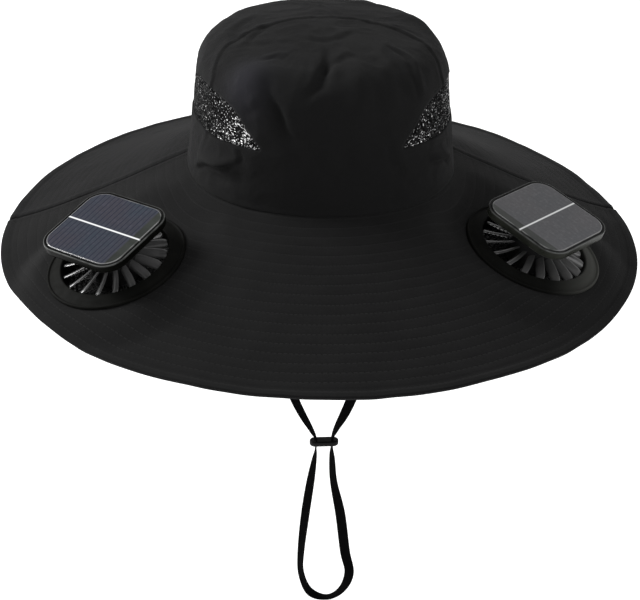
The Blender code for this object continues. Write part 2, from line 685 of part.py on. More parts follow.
def through(values, count):
    """A smooth curve through rows of values, read at evenly spaced places (Catmull-Rom)."""
    values = np.array(values, float)
    ends = np.concatenate([[2 * values[0] - values[1]], values, [2 * values[-1] - values[-2]]])
    place = np.linspace(0, len(values) - 1, count)
    k = np.minimum(place.astype(int), len(values) - 2)
    t = (place - k)[:, None]
    a, b, c, d = ends[k], ends[k + 1], ends[k + 2], ends[k + 3]
    return 0.5 * (2 * b + (c - a) * t + (2 * a - 5 * b + 4 * c - d) * t**2 + (3 * b - a - 3 * c + d) * t**3)


def make_strap(webbing):
    """The flat ribbon along its route, turned about its own line."""
    rows = through(STRAP, STRAP_STATIONS)
    middle = np.stack([rows[:, 0], 0 * rows[:, 0], rows[:, 1]], -1)
    tangent = np.gradient(middle, axis=0)
    tangent /= np.linalg.norm(tangent, axis=1)[:, None]
    deep = np.array([0, 1.0, 0]) + 0 * tangent
    flat = np.cross(tangent, deep)
    turn = rows[:, 2:3] * DEG
    width = (deep * np.cos(turn) + flat * np.sin(turn)) * STRAP_WIDTH / 2 * rows[:, 3:4]
    thick = (flat * np.cos(turn) - deep * np.sin(turn)) * STRAP_THICKNESS / 2
    loops = [middle - width - thick, middle + width - thick, middle + width + thick, middle - width + thick]
    return add("chin_strap", *stacked(list(np.stack(loops, 1))), webbing)


def box(name, low, high):
    """An eight-cornered helper solid."""
    loops = [np.array([(x, y, z) for x, y in ((low[0], low[1]), (high[0], low[1]), (high[0], high[1]), (low[0], high[1]))]) for z in (low[2], high[2])]
    return helper(add(name, *stacked(loops)))


def make_slider(plastic):
    """The bar round the strap's two limbs, with a slot for each."""
    limbs = [(STRAP[a].x + STRAP[b].x) / 2 for a, b in SLOTS]
    upper, lower = (STRAP[k] for k in SLOTS[0])
    middle, height = sum(limbs) / 2, (upper.z + lower.z) / 2
    slot_deep = STRAP_WIDTH * upper.width + 2 * SLOT_CLEARANCE
    slot_wide = STRAP_THICKNESS + 2 * SLOT_CLEARANCE
    deep = slot_deep + 2 * SLIDER_WALL
    corner = deep * 0.45
    loops = []
    for share, inset in ((-0.5, 0.9 * MM), (-0.2, 0), (0.2, 0), (0.5, 0.9 * MM)):
        outline = []
        for sx, sy, start in ((1, -1, -90), (1, 1, 0), (-1, 1, 90), (-1, -1, 180)):
            for step in range(4):
                angle = (start + 30 * step) * DEG
                x = sx * (SLIDER_WIDTH / 2 - corner) + (corner - inset) * math.cos(angle)
                y = sy * (deep / 2 - corner) + (corner - inset) * math.sin(angle)
                outline.append((middle + x, y, height + share * SLIDER_HEIGHT))
        loops.append(np.array(outline))
    slider = add("strap_slider", *stacked(loops), plastic)
    for word, limb in zip(("left", "right"), limbs):
        low = (limb - slot_wide / 2, -slot_deep / 2, height - SLIDER_HEIGHT)
        high = (limb + slot_wide / 2, slot_deep / 2, height + SLIDER_HEIGHT)
        boolean(slider, box(f"slot_{word}", low, high), "DIFFERENCE")
    return slider


def main():
    for old in list(bpy.data.objects):
        bpy.data.objects.remove(old)
    cloth = material("dark_cloth", (0.045, 0.047, 0.052), 0.9)
    finishes = {
        "housing": material("dark_plastic", (0.06, 0.062, 0.06), 0.4),
        "blades": material("gloss_plastic", (0.02, 0.02, 0.022), 0.15),
        "tray": material("panel_tray", (0.12, 0.13, 0.125), 0.35),
        "cell": material("solar_cell", (0.10, 0.12, 0.17), 0.2),
    }
    front, back = make_crown(cloth)
    net = material("net", (0.06, 0.06, 0.065), 0.8)
    for side, word in ((-1, "left"), (1, "right")):
        cut_vent(side, f"vent_{word}", (front, back))
        make_vent(side, f"vent_{word}", net)
    brim, _ = make_brim(cloth)
    for side, word in ((-1, "left"), (1, "right")):
        make_fan(side, word, brim, finishes)
    make_strap(material("strap_webbing", (0.012, 0.012, 0.013), 0.75))
    make_slider(material("slider_plastic", (0.02, 0.02, 0.02), 0.4))


main()
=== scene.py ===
import math

import bmesh
import bpy
import numpy as np
from mathutils import Matrix, Vector


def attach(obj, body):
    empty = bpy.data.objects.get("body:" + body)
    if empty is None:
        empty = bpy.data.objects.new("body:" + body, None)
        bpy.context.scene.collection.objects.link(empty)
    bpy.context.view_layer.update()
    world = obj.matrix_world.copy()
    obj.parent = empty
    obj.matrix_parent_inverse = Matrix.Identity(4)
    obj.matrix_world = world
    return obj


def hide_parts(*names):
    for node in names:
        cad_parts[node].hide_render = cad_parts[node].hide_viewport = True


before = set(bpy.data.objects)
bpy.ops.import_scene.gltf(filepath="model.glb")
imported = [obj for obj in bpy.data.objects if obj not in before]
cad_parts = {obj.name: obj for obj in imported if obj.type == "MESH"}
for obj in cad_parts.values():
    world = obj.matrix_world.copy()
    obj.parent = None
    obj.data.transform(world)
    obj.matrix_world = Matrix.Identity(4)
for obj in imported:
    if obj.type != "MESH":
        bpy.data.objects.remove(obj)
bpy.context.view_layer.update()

print("frame loaded")

# ---- camera, first because the cord is judged from it

view = {
    "elevation": 29.43,  # degrees
    "turn": -5.19,  # of the camera round the hat
    "roll": 1.32,
    "distance": 1.272,
    "focal": 1760.0,  # in pixels of a picture 640 wide
    "target": (0.0016, -0.0037, -0.11295),
}


def makeCamera():
    rise, turn, roll = (math.radians(view[k]) for k in ("elevation", "turn", "roll"))
    back = Vector((math.sin(turn) * math.cos(rise), -math.cos(turn) * math.cos(rise), math.sin(rise)))
    level = Vector((math.cos(turn), math.sin(turn), 0))
    above = back.cross(level)
    right = level * math.cos(roll) + above * math.sin(roll)
    up = above * math.cos(roll) - level * math.sin(roll)
    lens = bpy.data.cameras.new("camera")
    lens.sensor_width = 36
    lens.lens = view["focal"] / 640 * 36
    lens.clip_end = 50
    camera = bpy.data.objects.new("camera", lens)
    place = Matrix((right, up, back)).transposed().to_4x4()
    place.translation = Vector(view["target"]) + back * view["distance"]
    camera.matrix_world = place
    bpy.context.scene.collection.objects.link(camera)
    bpy.context.scene.camera = camera


makeCamera()
bpy.context.scene.view_settings.view_transform = "Standard"
print("camera set")


# ---- meshes from grids

def gridQuads(rows, columns):
    # Quads of a grid numbered row by row, as an array of four corners each.
    i, j = np.meshgrid(np.arange(rows - 1), np.arange(columns - 1), indexing="ij")
    a = (i * columns + j).ravel()
    return np.stack([a, a + 1, a + columns + 1, a + columns], -1)


def makePiece(name, points, quads, body, uv=None, values=None, outFrom=None, closed=False, merge=1e-7, sharp=40):
    # A mesh object from points and quads. uv and values belong to the points before doubles are merged.
    mesh = bpy.data.meshes.new(name)
    points = np.ascontiguousarray(points, float).reshape(-1, 3)
    mesh.from_pydata(points.tolist(), [], quads.tolist())
    corners = np.empty(len(mesh.loops), np.int32)
    mesh.loops.foreach_get("vertex_index", corners)
    if uv is not None:
        layer = mesh.uv_layers.new(name="lie")
        layer.data.foreach_set("uv", np.ascontiguousarray(uv.reshape(-1, 2)[corners], np.float32).ravel())
    for key, numbers in (values or {}).items():
        mesh.attributes.new(key, "FLOAT", "POINT").data.foreach_set("value", np.ascontiguousarray(numbers, np.float32).ravel())
    work = bmesh.new()
    work.from_mesh(mesh)
    bmesh.ops.remove_doubles(work, verts=work.verts, dist=merge)
    bmesh.ops.dissolve_degenerate(work, edges=work.edges, dist=merge)
    if closed:
        bmesh.ops.recalc_face_normals(work, faces=work.faces)
    elif outFrom is not None:
        away = sum(f.calc_area() * f.normal.dot(f.calc_center_median() - Vector(outFrom)) for f in work.faces)
        if away < 0:
            bmesh.ops.reverse_faces(work, faces=work.faces)
    work.to_mesh(mesh)
    work.free()
    mesh.shade_smooth()
    if sharp:
        mesh.set_sharp_from_angle(angle=math.radians(sharp))
    piece = bpy.data.objects.new(name, mesh)
    bpy.context.scene.collection.objects.link(piece)
    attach(piece, body)
    return piece


def thicken(piece, wall):
    # A wall of that thickness behind the faces.
    change = piece.modifiers.new("wall", "SOLIDIFY")
    change.thickness = wall
    change.offset = -1
    change.use_even_offset = False


def turnedGrid(profile, sides):
    # A (radius, height) outline turned round +Z: rows follow the outline, columns the turn.
    radius, height = np.array(profile, float).T
    ring = np.linspace(0, 2 * np.pi, sides + 1)
    return np.stack([radius[:, None] * np.cos(ring), radius[:, None] * np.sin(ring), height[:, None] + 0 * ring], -1)


def through(values, count):
    # A smooth curve through rows of values, read at evenly spaced places (Catmull-Rom).
    values = np.array(values, float)
    ends = np.concatenate([[2 * values[0] - values[1]], values, [2 * values[-1] - values[-2]]])
    place = np.linspace(0, len(values) - 1, count)
    k = np.minimum(place.astype(int), len(values) - 2)
    t = (place - k)[:, None]
    a, b, c, d = ends[k], ends[k + 1], ends[k + 2], ends[k + 3]
    return 0.5 * (2 * b + (c - a) * t + (2 * a - 5 * b + 4 * c - d) * t**2 + (3 * b - a - 3 * c + d) * t**3)


def lumps(points, cell, seed):
    # Value noise: seeded numbers on a cubic lattice, blended smoothly between its corners.
    table = np.random.default_rng(seed).uniform(-1, 1, (32, 32, 32))
    place = points / cell + 500
    low = np.floor(place).astype(int)
    part = place - low
    part = part * part * (3 - 2 * part)
    total = 0
    for corner in np.ndindex(2, 2, 2):
        weight = np.prod(np.where(corner, part, 1 - part), axis=-1)
        index = (low + corner) % 32
        total = total + weight * table[index[..., 0], index[..., 1], index[..., 2]]
    return total


def ease(x):
    x = np.clip(x, 0, 1)
    return x * x * (3 - 2 * x)


def place(points, matrix):
    # Points moved from a fan's own frame into the hat's.
    turn = np.array(matrix)
    return points @ turn[:3, :3].T + turn[:3, 3]


# ---- materials: shader maths as expressions

class Wire:
    # A socket in a material's node tree, or the tree's start when it has no socket.
    def __init__(self, tree, socket=None):
        self.tree, self.socket = tree, socket

    def node(self, kind, settings=None, feeds=None, out=0):
        # Any node: its settings first, then the values or links of its sockets.
        made = self.tree.nodes.new(kind)
        for key, value in (settings or {}).items():
            setattr(made, key, value)
        for key, value in (feeds or {}).items():
            self.feed(made.inputs[key], value)
        return Wire(self.tree, made.outputs[out])

    def feed(self, socket, value):
        if isinstance(value, Wire):
            self.tree.links.new(value.socket, socket)
        elif isinstance(value, tuple) and len(value) == 3 and socket.type == "RGBA":
            socket.default_value = (*value, 1)
        else:
            socket.default_value = value

    def maths(self, operation, *values):
        return self.node("ShaderNodeMath", {"operation": operation}, dict(enumerate(values)))

    def __add__(self, other):
        return self.maths("ADD", self, other)

    def __radd__(self, other):
        return self.maths("ADD", other, self)

    def __sub__(self, other):
        return self.maths("SUBTRACT", self, other)

    def __rsub__(self, other):
        return self.maths("SUBTRACT", other, self)

    def __mul__(self, other):
        return self.maths("MULTIPLY", self, other)

    def __rmul__(self, other):
        return self.maths("MULTIPLY", other, self)

    def __truediv__(self, other):
        return self.maths("DIVIDE", self, other)

    def __mod__(self, other):
        return self.maths("FLOORED_MODULO", self, other)

    def __lt__(self, other):
        return self.maths("LESS_THAN", self, other)

    def __gt__(self, other):
        return self.maths("GREATER_THAN", self, other)

    def __abs__(self):
        return self.maths("ABSOLUTE", self)

    def sine(self):
        return self.maths("SINE", self)

    def fade(self, start, end):
        # 0 at start and 1 at end, smoothly.
        return self.node("ShaderNodeMapRange", {"interpolation_type": "SMOOTHSTEP"}, {"Value": self, "From Min": start, "From Max": end})

    def place(self):
        return self.node("ShaderNodeTexCoord", out=3)

    def lie(self):
        # The two coordinates of the piece's own UV map, in metres along the cloth or plastic.
        parts = self.node("ShaderNodeSeparateXYZ", {}, {0: self.node("ShaderNodeUVMap", {"uv_map": "lie"})}).socket.node
        return Wire(self.tree, parts.outputs[0]), Wire(self.tree, parts.outputs[1])

    def attribute(self, name):
        return self.node("ShaderNodeAttribute", {"attribute_name": name}, out=2)

    def noise(self, scale, detail=2.0, rough=0.5):
        return self.node("ShaderNodeTexNoise", {}, {"Vector": self, "Scale": scale, "Detail": detail, "Roughness": rough})

    def blend(self, dark, light):
        # A colour between two, by this value.
        return self.node("ShaderNodeMix", {"data_type": "RGBA"}, {"Factor": self, 6: dark, 7: light}, out=2)

    def bump(self):
        # The height is in metres.
        return self.node("ShaderNodeBump", {}, {"Height": self, "Distance": 1.0, "Strength": 1.0})


def newMaterial(name, **constants):
    # A material with its shader's constants set, and the wire that its pattern starts from.
    material = bpy.data.materials.new(name)
    material.use_nodes = True
    shader = material.node_tree.nodes["Principled BSDF"]
    for key, value in constants.items():
        socket = shader.inputs[key.replace("_", " ")]
        socket.default_value = (*value, 1) if socket.type == "RGBA" else value
    return material, shader, Wire(material.node_tree)


def times(colour, factor):
    return tuple(c * factor for c in colour)


cloth = {
    "front": (0.0064, 0.0064, 0.0065),
    "rear": (0.0061, 0.0061, 0.0064),
    # painted light on the front panel's puffed side
    "bulgeLight": (0.021, 0.021, 0.026),
    "thread": (0.034, 0.034, 0.034),
    "sheen": 0.02,
    "weavePitch": 0.0007,
    "weaveHeight": 0.00005,
    "ringPitch": 0.0068,
    "ringDepth": 0.00011,
    "stitch": 0.0028,
}


def weave(u, v):
    # Over and under threads: two crossed waves that take turns.
    a = (u * (2 * math.pi / cloth["weavePitch"])).sine()
    b = (v * (2 * math.pi / cloth["weavePitch"])).sine()
    return a * b


def dashes(u):
    return abs((u / cloth["stitch"]) % 1.0 - 0.5).fade(0.36, 0.30)


def clothMaterial(name, colour, rings):
    # Woven cloth. rings: stitched lines at even distances from the crown, as on the brim.
    material, shader, start = newMaterial(name, Roughness=0.95, Sheen_Weight=cloth["sheen"], Sheen_Roughness=0.5, Specular_IOR_Level=0.12)
    u, v = start.lie()
    patches, fine = start.place().noise(22, 3), start.place().noise(420, 2)
    shade = (patches * 0.55 + fine * 0.45).fade(0.3, 0.72).blend(times(colour, 0.88), times(colour, 1.14))
    height = weave(u, v) * cloth["weaveHeight"] + (fine - 0.5) * 0.00014 + (patches - 0.5) * 0.0006
    if rings:
        # Each ring is a narrow groove with a dashed thread lying in it; the cloth puffs a little between.
        near = abs((v / cloth["ringPitch"]) % 1.0 - 0.5) * cloth["ringPitch"]
        groove = near.fade(0.0011, 0.0002)
        thread = near.fade(0.00045, 0.0002) * dashes(u)
        puff = near.fade(0.0, cloth["ringPitch"] / 2)
        height = height + (puff - groove + thread) * cloth["ringDepth"]
        shade = (thread * 0.3).blend(shade, cloth["thread"])
        # Painted shade: the groove is also painted darker, as shade lying in it.
        shade = (groove * 0.25).blend(shade, times(colour, 0.5))
    start.feed(shader.inputs["Base Color"], shade)
    start.feed(shader.inputs["Normal"], height.bump())
    return material


clothBrim = clothMaterial("brim_cloth", cloth["front"], True)
clothBrimRear = clothMaterial("brim_rear_cloth", cloth["rear"], True)


def crownMaterial():
    # The front panel's cloth is darker than the top's. Attributes: panel is 1 on the front one, bulgeLight marks its
    # puffed side, painted lighter as painted light, and stitch and shadow, a painted shadow, lie beside the seam.
    material, shader, start = newMaterial("crown_cloth", Roughness=0.95, Sheen_Weight=cloth["sheen"], Sheen_Roughness=0.5, Specular_IOR_Level=0.12)
    u, v = start.lie()
    patches, creases, fine = start.place().noise(24, 4, 0.6), start.place().noise(46, 4, 0.55), start.place().noise(420, 2)
    lift = (patches * 0.6 + fine * 0.4).fade(0.36, 0.68)
    shade = start.attribute("panel").blend(cloth["rear"], cloth["front"])
    shade = (lift * 0.35).blend(shade, cloth["rear"])
    # Painted light: the front panel's puffed side is painted lighter, as if lit.
    shade = (start.attribute("bulgeLight") * 0.7).blend(shade, cloth["bulgeLight"])
    under = start.attribute("shadow") * start.place().noise(70, 3).fade(0.30, 0.62)
    shade = under.blend(shade, times(cloth["front"], 0.15))
    thread = start.attribute("stitch") * dashes(u)
    shade = (thread * 0.35).blend(shade, cloth["thread"])
    height = weave(u, v) * cloth["weaveHeight"] + (fine - 0.5) * 0.00014
    height = height + abs(creases - 0.5) * -0.0010 + (patches - 0.5) * 0.0010 + thread * 0.0002
    start.feed(shader.inputs["Base Color"], shade)
    start.feed(shader.inputs["Normal"], height.bump())
    return material


clothCrown = crownMaterial()


def netMaterial():
    # Dark thread with pale flecks painted on: painted highlights where the thread's gloss would catch the light, most
    # where the attribute glint is high.
    material, shader, start = newMaterial("net_thread", Roughness=0.95, Specular_IOR_Level=0.02)
    glintSpeckle = start.place().noise(900, 1, 0.4)
    tone = start.place().noise(300, 2).fade(0.35, 0.65).blend((0.003, 0.003, 0.003), (0.012, 0.012, 0.0123))
    tone = glintSpeckle.fade(0.57, 0.65).blend(tone, (0.085, 0.085, 0.085))
    tone = (glintSpeckle + start.attribute("glint") * 0.12).fade(0.72, 0.77).blend(tone, (0.75, 0.75, 0.75))
    start.feed(shader.inputs["Base Color"], tone)
    start.feed(shader.inputs["Normal"], (glintSpeckle * 0.0003).bump())
    return material


netThread = netMaterial()


def housingMaterial():
    # Moulded plastic. Painted light: the end of the flange that lies outwards is painted paler, as if lit, and more so
    # on the right one.
    material, shader, start = newMaterial("housing_plastic", Specular_IOR_Level=0.03)
    x = start.node("ShaderNodeSeparateXYZ", {}, {0: start.place()})
    litEnd = abs(x).fade(0.135, 0.185)
    shade = start.place().noise(60, 3).fade(0.3, 0.7).blend((0.0036, 0.0037, 0.0033), (0.0056, 0.0057, 0.0051))
    # Painted light on the outward end of the flange, stronger where x is positive.
    shade = (litEnd * (x.fade(-0.01, 0.01) * 0.86 + 0.04)).blend(shade, (0.060, 0.061, 0.056))
    start.feed(shader.inputs["Base Color"], shade)
    start.feed(shader.inputs["Roughness"], start.place().noise(140, 4, 0.6).fade(0.25, 0.75) * 0.12 + 0.58)
    start.feed(shader.inputs["Normal"], ((start.place().noise(900, 2) - 0.5) * 0.00002).bump())
    return material


def plasticMaterial(name, dark, light, roughness, grain, specular, coat=0.0):
    # Moulded plastic: a faint mottle, a fine grain and rubbed places.
    material, shader, start = newMaterial(name, Coat_Weight=coat, Coat_Roughness=0.06, Specular_IOR_Level=specular)
    start.feed(shader.inputs["Base Color"], start.place().noise(60, 3).fade(0.3, 0.7).blend(dark, light))
    start.feed(shader.inputs["Roughness"], start.place().noise(140, 4, 0.6).fade(0.25, 0.75) * 0.12 + roughness)
    start.feed(shader.inputs["Normal"], ((start.place().noise(900, 2) - 0.5) * grain).bump())
    return material


housingPlastic = housingMaterial()
corePlastic = plasticMaterial("core_plastic", (0.0040, 0.0040, 0.0042), (0.0070, 0.0070, 0.0072), 0.45, 0.00002, 0.3)
bladePlastic = plasticMaterial("blade_plastic", (0.062, 0.062, 0.062), (0.092, 0.091, 0.092), 0.14, 0.00001, 0.5, 0.2)
sliderPlastic = plasticMaterial("slider_moulding", (0.0018, 0.0018, 0.0020), (0.0040, 0.0040, 0.0042), 0.36, 0.00003, 0.10)


def trayMaterial(name, light, gloss):
    # Black resin. Painted light: its side wall is painted greyer, as if lit, by the factor light, and a pale line is
    # painted round its top edge as a highlight: the attributes wall and edge.
    material, shader, start = newMaterial(name, Specular_IOR_Level=gloss)
    mottle = start.place().noise(70, 3).fade(0.3, 0.7)
    shade = mottle.blend((0.0020, 0.0022, 0.0020), (0.0045, 0.0050, 0.0045))
    # Painted light on the side wall, scaled by light.
    shade = start.attribute("wall").blend(shade, mottle.blend(times((0.0150, 0.0162, 0.0130), light), times((0.0300, 0.0318, 0.0260), light)))
    # Painted highlight: the pale line round the top edge, broken into blotches.
    blotches = start.attribute("edge") * start.place().noise(120, 3).fade(0.15, 0.60)
    shade = blotches.blend(shade, (0.10, 0.103, 0.10))
    start.feed(shader.inputs["Base Color"], shade)
    start.feed(shader.inputs["Roughness"], mottle * 0.1 + 0.24)
    start.feed(shader.inputs["Normal"], (start.place().noise(700, 2) * 0.00001).bump())
    return material


# One resin in two copies: the left tray's wall is painted dark as painted shade, the right one's paler as painted
# light.
trayResins = {"left": trayMaterial("tray_resin_left", 0.15, 0.03), "right": trayMaterial("tray_resin_right", 1.0, 0.08)}

cell = {
    "linePitch": 0.0036,
    "dark": (0.006, 0.008, 0.022),
    # the two tints of each side's cell; the right one's are painted paler, a painted reflection of glare
    "left": ((0.027, 0.026, 0.037), (0.020, 0.029, 0.043)),
    "right": ((0.064, 0.062, 0.067), (0.055, 0.057, 0.063)),
    "margin": 0.0238,  # beyond this the clear resin has no cell under it
    "bar": 0.0006,
}


def cellMaterial(name, lines, tints, gloss):
    # The UV map is in metres from the panel's middle: the dark lines run along u, the white bus bar along v.
    material, shader, start = newMaterial(name, Coat_Weight=gloss, Coat_Roughness=0.03, Specular_IOR_Level=gloss)
    u, v = start.lie()
    wobble = (start.place().noise(160, 2) - 0.5) * 0.0006
    wave = abs(((v + wobble) / cell["linePitch"]) % 1.0 - 0.5)
    line = wave.fade(0.30, 0.46)
    fineLine = abs((v / (cell["linePitch"] / 2)) % 1.0 - 0.5).fade(0.38, 0.48)
    tone = start.place().noise(34, 2).fade(0.35, 0.65).blend(*tints)
    tone = (start.place().noise(420, 3, 0.7).fade(0.45, 0.75) * 0.5).blend(tone, times(tints[0], 1.9))
    tone = (line * lines).blend(tone, cell["dark"])
    tone = (fineLine * lines * 0.35).blend(tone, cell["dark"])
    resin = start.place().noise(80, 3).fade(0.3, 0.7).blend((0.010, 0.0125, 0.0105), (0.022, 0.026, 0.022))
    shade = v.fade(cell["margin"] + 0.0004, cell["margin"] - 0.0004).blend(resin, tone)
    bar = abs(u).fade(cell["bar"] + 0.0003, cell["bar"] - 0.0003)
    # Painted highlight: a pale line along the cell's edge, where the attribute edge is high.
    shade = (start.attribute("edge") * start.place().noise(90, 2).fade(0.2, 0.6)).blend(shade, (0.22, 0.22, 0.22))
    shade = bar.blend(shade, (0.80, 0.81, 0.81))
    start.feed(shader.inputs["Base Color"], shade)
    start.feed(shader.inputs["Roughness"], start.place().noise(300, 2) * 0.08 + 0.10)
    start.feed(shader.inputs["Normal"], (bar * 0.00008 - line * 0.00002).bump())
    return material


# One cell in two copies: the right one is painted paler, with fainter lines, than the left one, a painted reflection of
# glare.
cellFaces = {"left": cellMaterial("solar_cell_face_left", 0.95, cell["left"], 0.22), "right": cellMaterial("solar_cell_face_right", 0.12, cell["right"], 0.32)}


def webbingMaterial():
    # Ribs across the strap and warp threads along it.
    material, shader, start = newMaterial("strap_weave", Roughness=0.9, Specular_IOR_Level=0.03)
    u, v = start.lie()
    rib = (u * (2 * math.pi / 0.0011)).sine()
    warp = (v * (2 * math.pi / 0.0016)).sine()
    blotches = start.place().noise(90, 3).fade(0.3, 0.7)
    start.feed(shader.inputs["Base Color"], (rib * warp).fade(-1, 1).blend((0.0008, 0.0008, 0.0009), blotches.blend((0.0016, 0.0016, 0.0017), (0.0038, 0.0038, 0.0040))))
    start.feed(shader.inputs["Normal"], (rib * 0.00010 + warp * 0.00005).bump())
    return material


webbing = webbingMaterial()
print("materials made")

# ---- chin strap, a cord with its slider

strap = {
    "width": 0.008,
    "wall": 0.0012,
    "stations": 361,
    # x and z of the middle, the turn of the flat side towards the front in degrees, the width's share
    "route": (
        (-0.0879, 0.0100, 0, 1.0), (-0.0884, 0.0010, 0, 1.0), (-0.0850, -0.0140, 10, 1.0),
        (-0.0640, -0.0700, 40, 1.0), (-0.0415, -0.1300, 44, 1.0), (-0.0155, -0.1995, 40, 1.0),
        (-0.0028, -0.2266, 20, 0.8), (0.0012, -0.2351, 0, 0.62), (0.0013, -0.2425, 0, 0.62),
        (0.0004, -0.2531, 36, 0.8), (-0.0022, -0.2749, 56, 1.0), (-0.0057, -0.3061, 62, 1.0),
        (-0.0085, -0.3421, 45, 1.0), (-0.0080, -0.3640, 30, 1.0), (-0.0010, -0.3825, 24, 1.0),
        (0.0130, -0.3888, -10, 1.0), (0.0245, -0.3815, 12, 1.0), (0.0302, -0.3650, 60, 1.0),
        (0.0263, -0.3435, 78, 1.0), (0.0217, -0.3072, 74, 1.0), (0.0157, -0.2755, 46, 0.9),
        (0.0140, -0.2531, 32, 0.8), (0.0137, -0.2425, 0, 0.62), (0.0137, -0.2351, 0, 0.62),
        (0.0167, -0.2266, 20, 0.8), (0.0274, -0.2008, 56, 1.0), (0.0492, -0.1300, 60, 1.0),
        (0.0677, -0.0700, 40, 1.0), (0.0850, -0.0140, 10, 1.0), (0.0884, 0.0010, 0, 1.0),
        (0.0879, 0.0100, 0, 1.0),
    ),
    "sliderWidth": 0.022,
    "sliderHeight": 0.0042,
    "sliderDeep": 0.0086,
    "slotLimbs": (0.00125, 0.0137),
    "slotWide": 0.0022,
    "slotDeep": 0.0060,
    "sliderZ": -0.2388,
}


def makeStrap():
    # The ribbon's section, a flat oval, carried along the route and turned about it by the route's turn.
    rows = through(strap["route"], strap["stations"])
    middle = np.stack([rows[:, 0], 0 * rows[:, 0], rows[:, 1]], -1)
    tangent = np.gradient(middle, axis=0)
    tangent /= np.linalg.norm(tangent, axis=1)[:, None]
    deep = np.array([0, 1.0, 0]) + 0 * tangent
    flat = np.cross(tangent, deep)
    turn = np.radians(rows[:, 2:3])
    across = (deep * np.cos(turn) + flat * np.sin(turn)) * strap["width"] / 2 * rows[:, 3:4]
    thick = (flat * np.cos(turn) - deep * np.sin(turn)) * strap["wall"] / 2
    angle = np.linspace(0, 2 * np.pi, 25)
    oval = np.abs(np.stack([np.cos(angle), np.sin(angle)], -1)) ** 0.35 * np.sign(np.stack([np.cos(angle), np.sin(angle)], -1))
    points = middle[:, None] + across[:, None] * oval[None, :, :1] + thick[:, None] * oval[None, :, 1:]
    along = np.concatenate([[0], np.cumsum(np.linalg.norm(np.diff(middle, axis=0), axis=1))])
    uv = np.stack([along[:, None] + 0 * angle, oval[None, :, 0] * strap["width"] / 2 * rows[:, 3:4]], -1)
    points = np.concatenate([np.repeat(middle[:1, None], 25, 1), points, np.repeat(middle[-1:, None], 25, 1)])
    uv = np.concatenate([uv[:1], uv, uv[-1:]])
    piece = makePiece("strap_ribbon", points, gridQuads(*points.shape[:2]), "hat", uv, closed=True)
    piece.data.materials.append(webbing)
    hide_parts("chin_strap")
    return piece, middle, along[-1]


def makeSlider():
    # A pill-shaped bar, its outline swept up through rounded edges, with two slots cut through.
    z, wide, deep = strap["sliderZ"], strap["sliderWidth"] / 2, strap["sliderDeep"] / 2
    middle = sum(strap["slotLimbs"]) / 2
    angle = np.linspace(0, 2 * np.pi, 65)
    corner = deep * 0.98
    edge = np.linspace(-np.pi / 2, np.pi / 2, 15)
    inset = 0.0011 * (1 - np.cos(edge))
    lift = (strap["sliderHeight"] / 2 - 0.0011) * np.sign(edge) * (np.abs(edge) > 1e-6) + 0.0011 * np.sin(edge)
    x = (wide - corner) * np.sign(np.round(np.cos(angle), 6)) + (corner - inset[:, None]) * np.cos(angle)
    y = (deep - corner) * np.sign(np.round(np.sin(angle), 6)) + (corner - inset[:, None]) * np.sin(angle)
    ring = np.stack([middle + x, y, z + lift[:, None] + 0 * x], -1)
    caps = [np.repeat(np.array([[[middle, 0, z + s * strap["sliderHeight"] / 2]]]), 65, 1) for s in (-1, 1)]
    points = np.concatenate([caps[0], ring, caps[1]])
    piece = makePiece("slider_bar", points, gridQuads(*points.shape[:2]), "hat", closed=True)
    piece.data.materials.append(sliderPlastic)
    work = bmesh.new()
    for limb in strap["slotLimbs"]:
        box = bmesh.ops.create_cube(work, size=1)
        bmesh.ops.scale(work, verts=box["verts"], vec=(strap["slotWide"], strap["slotDeep"], 0.02))
        bmesh.ops.translate(work, verts=box["verts"], vec=(limb, 0, z))
    cutMesh = bpy.data.meshes.new("slots")
    work.to_mesh(cutMesh)
    work.free()
    cutter = bpy.data.objects.new("slots", cutMesh)
    bpy.context.scene.collection.objects.link(cutter)
    change = piece.modifiers.new("slots", "BOOLEAN")
    change.operation = "DIFFERENCE"
    change.solver = "EXACT"
    change.object = cutter
    bpy.context.view_layer.update()
    solid = bpy.data.meshes.new_from_object(piece.evaluated_get(bpy.context.evaluated_depsgraph_get()))
    piece.modifiers.clear()
    piece.data = solid
    solid.shade_smooth()
    solid.set_sharp_from_angle(angle=math.radians(40))
    bpy.data.objects.remove(cutter)
    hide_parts("strap_slider")
    return piece


ribbon, strapPath, strapLength = makeStrap()
slider = makeSlider()
print("strap made, length", round(float(strapLength), 3))

# ---- crown

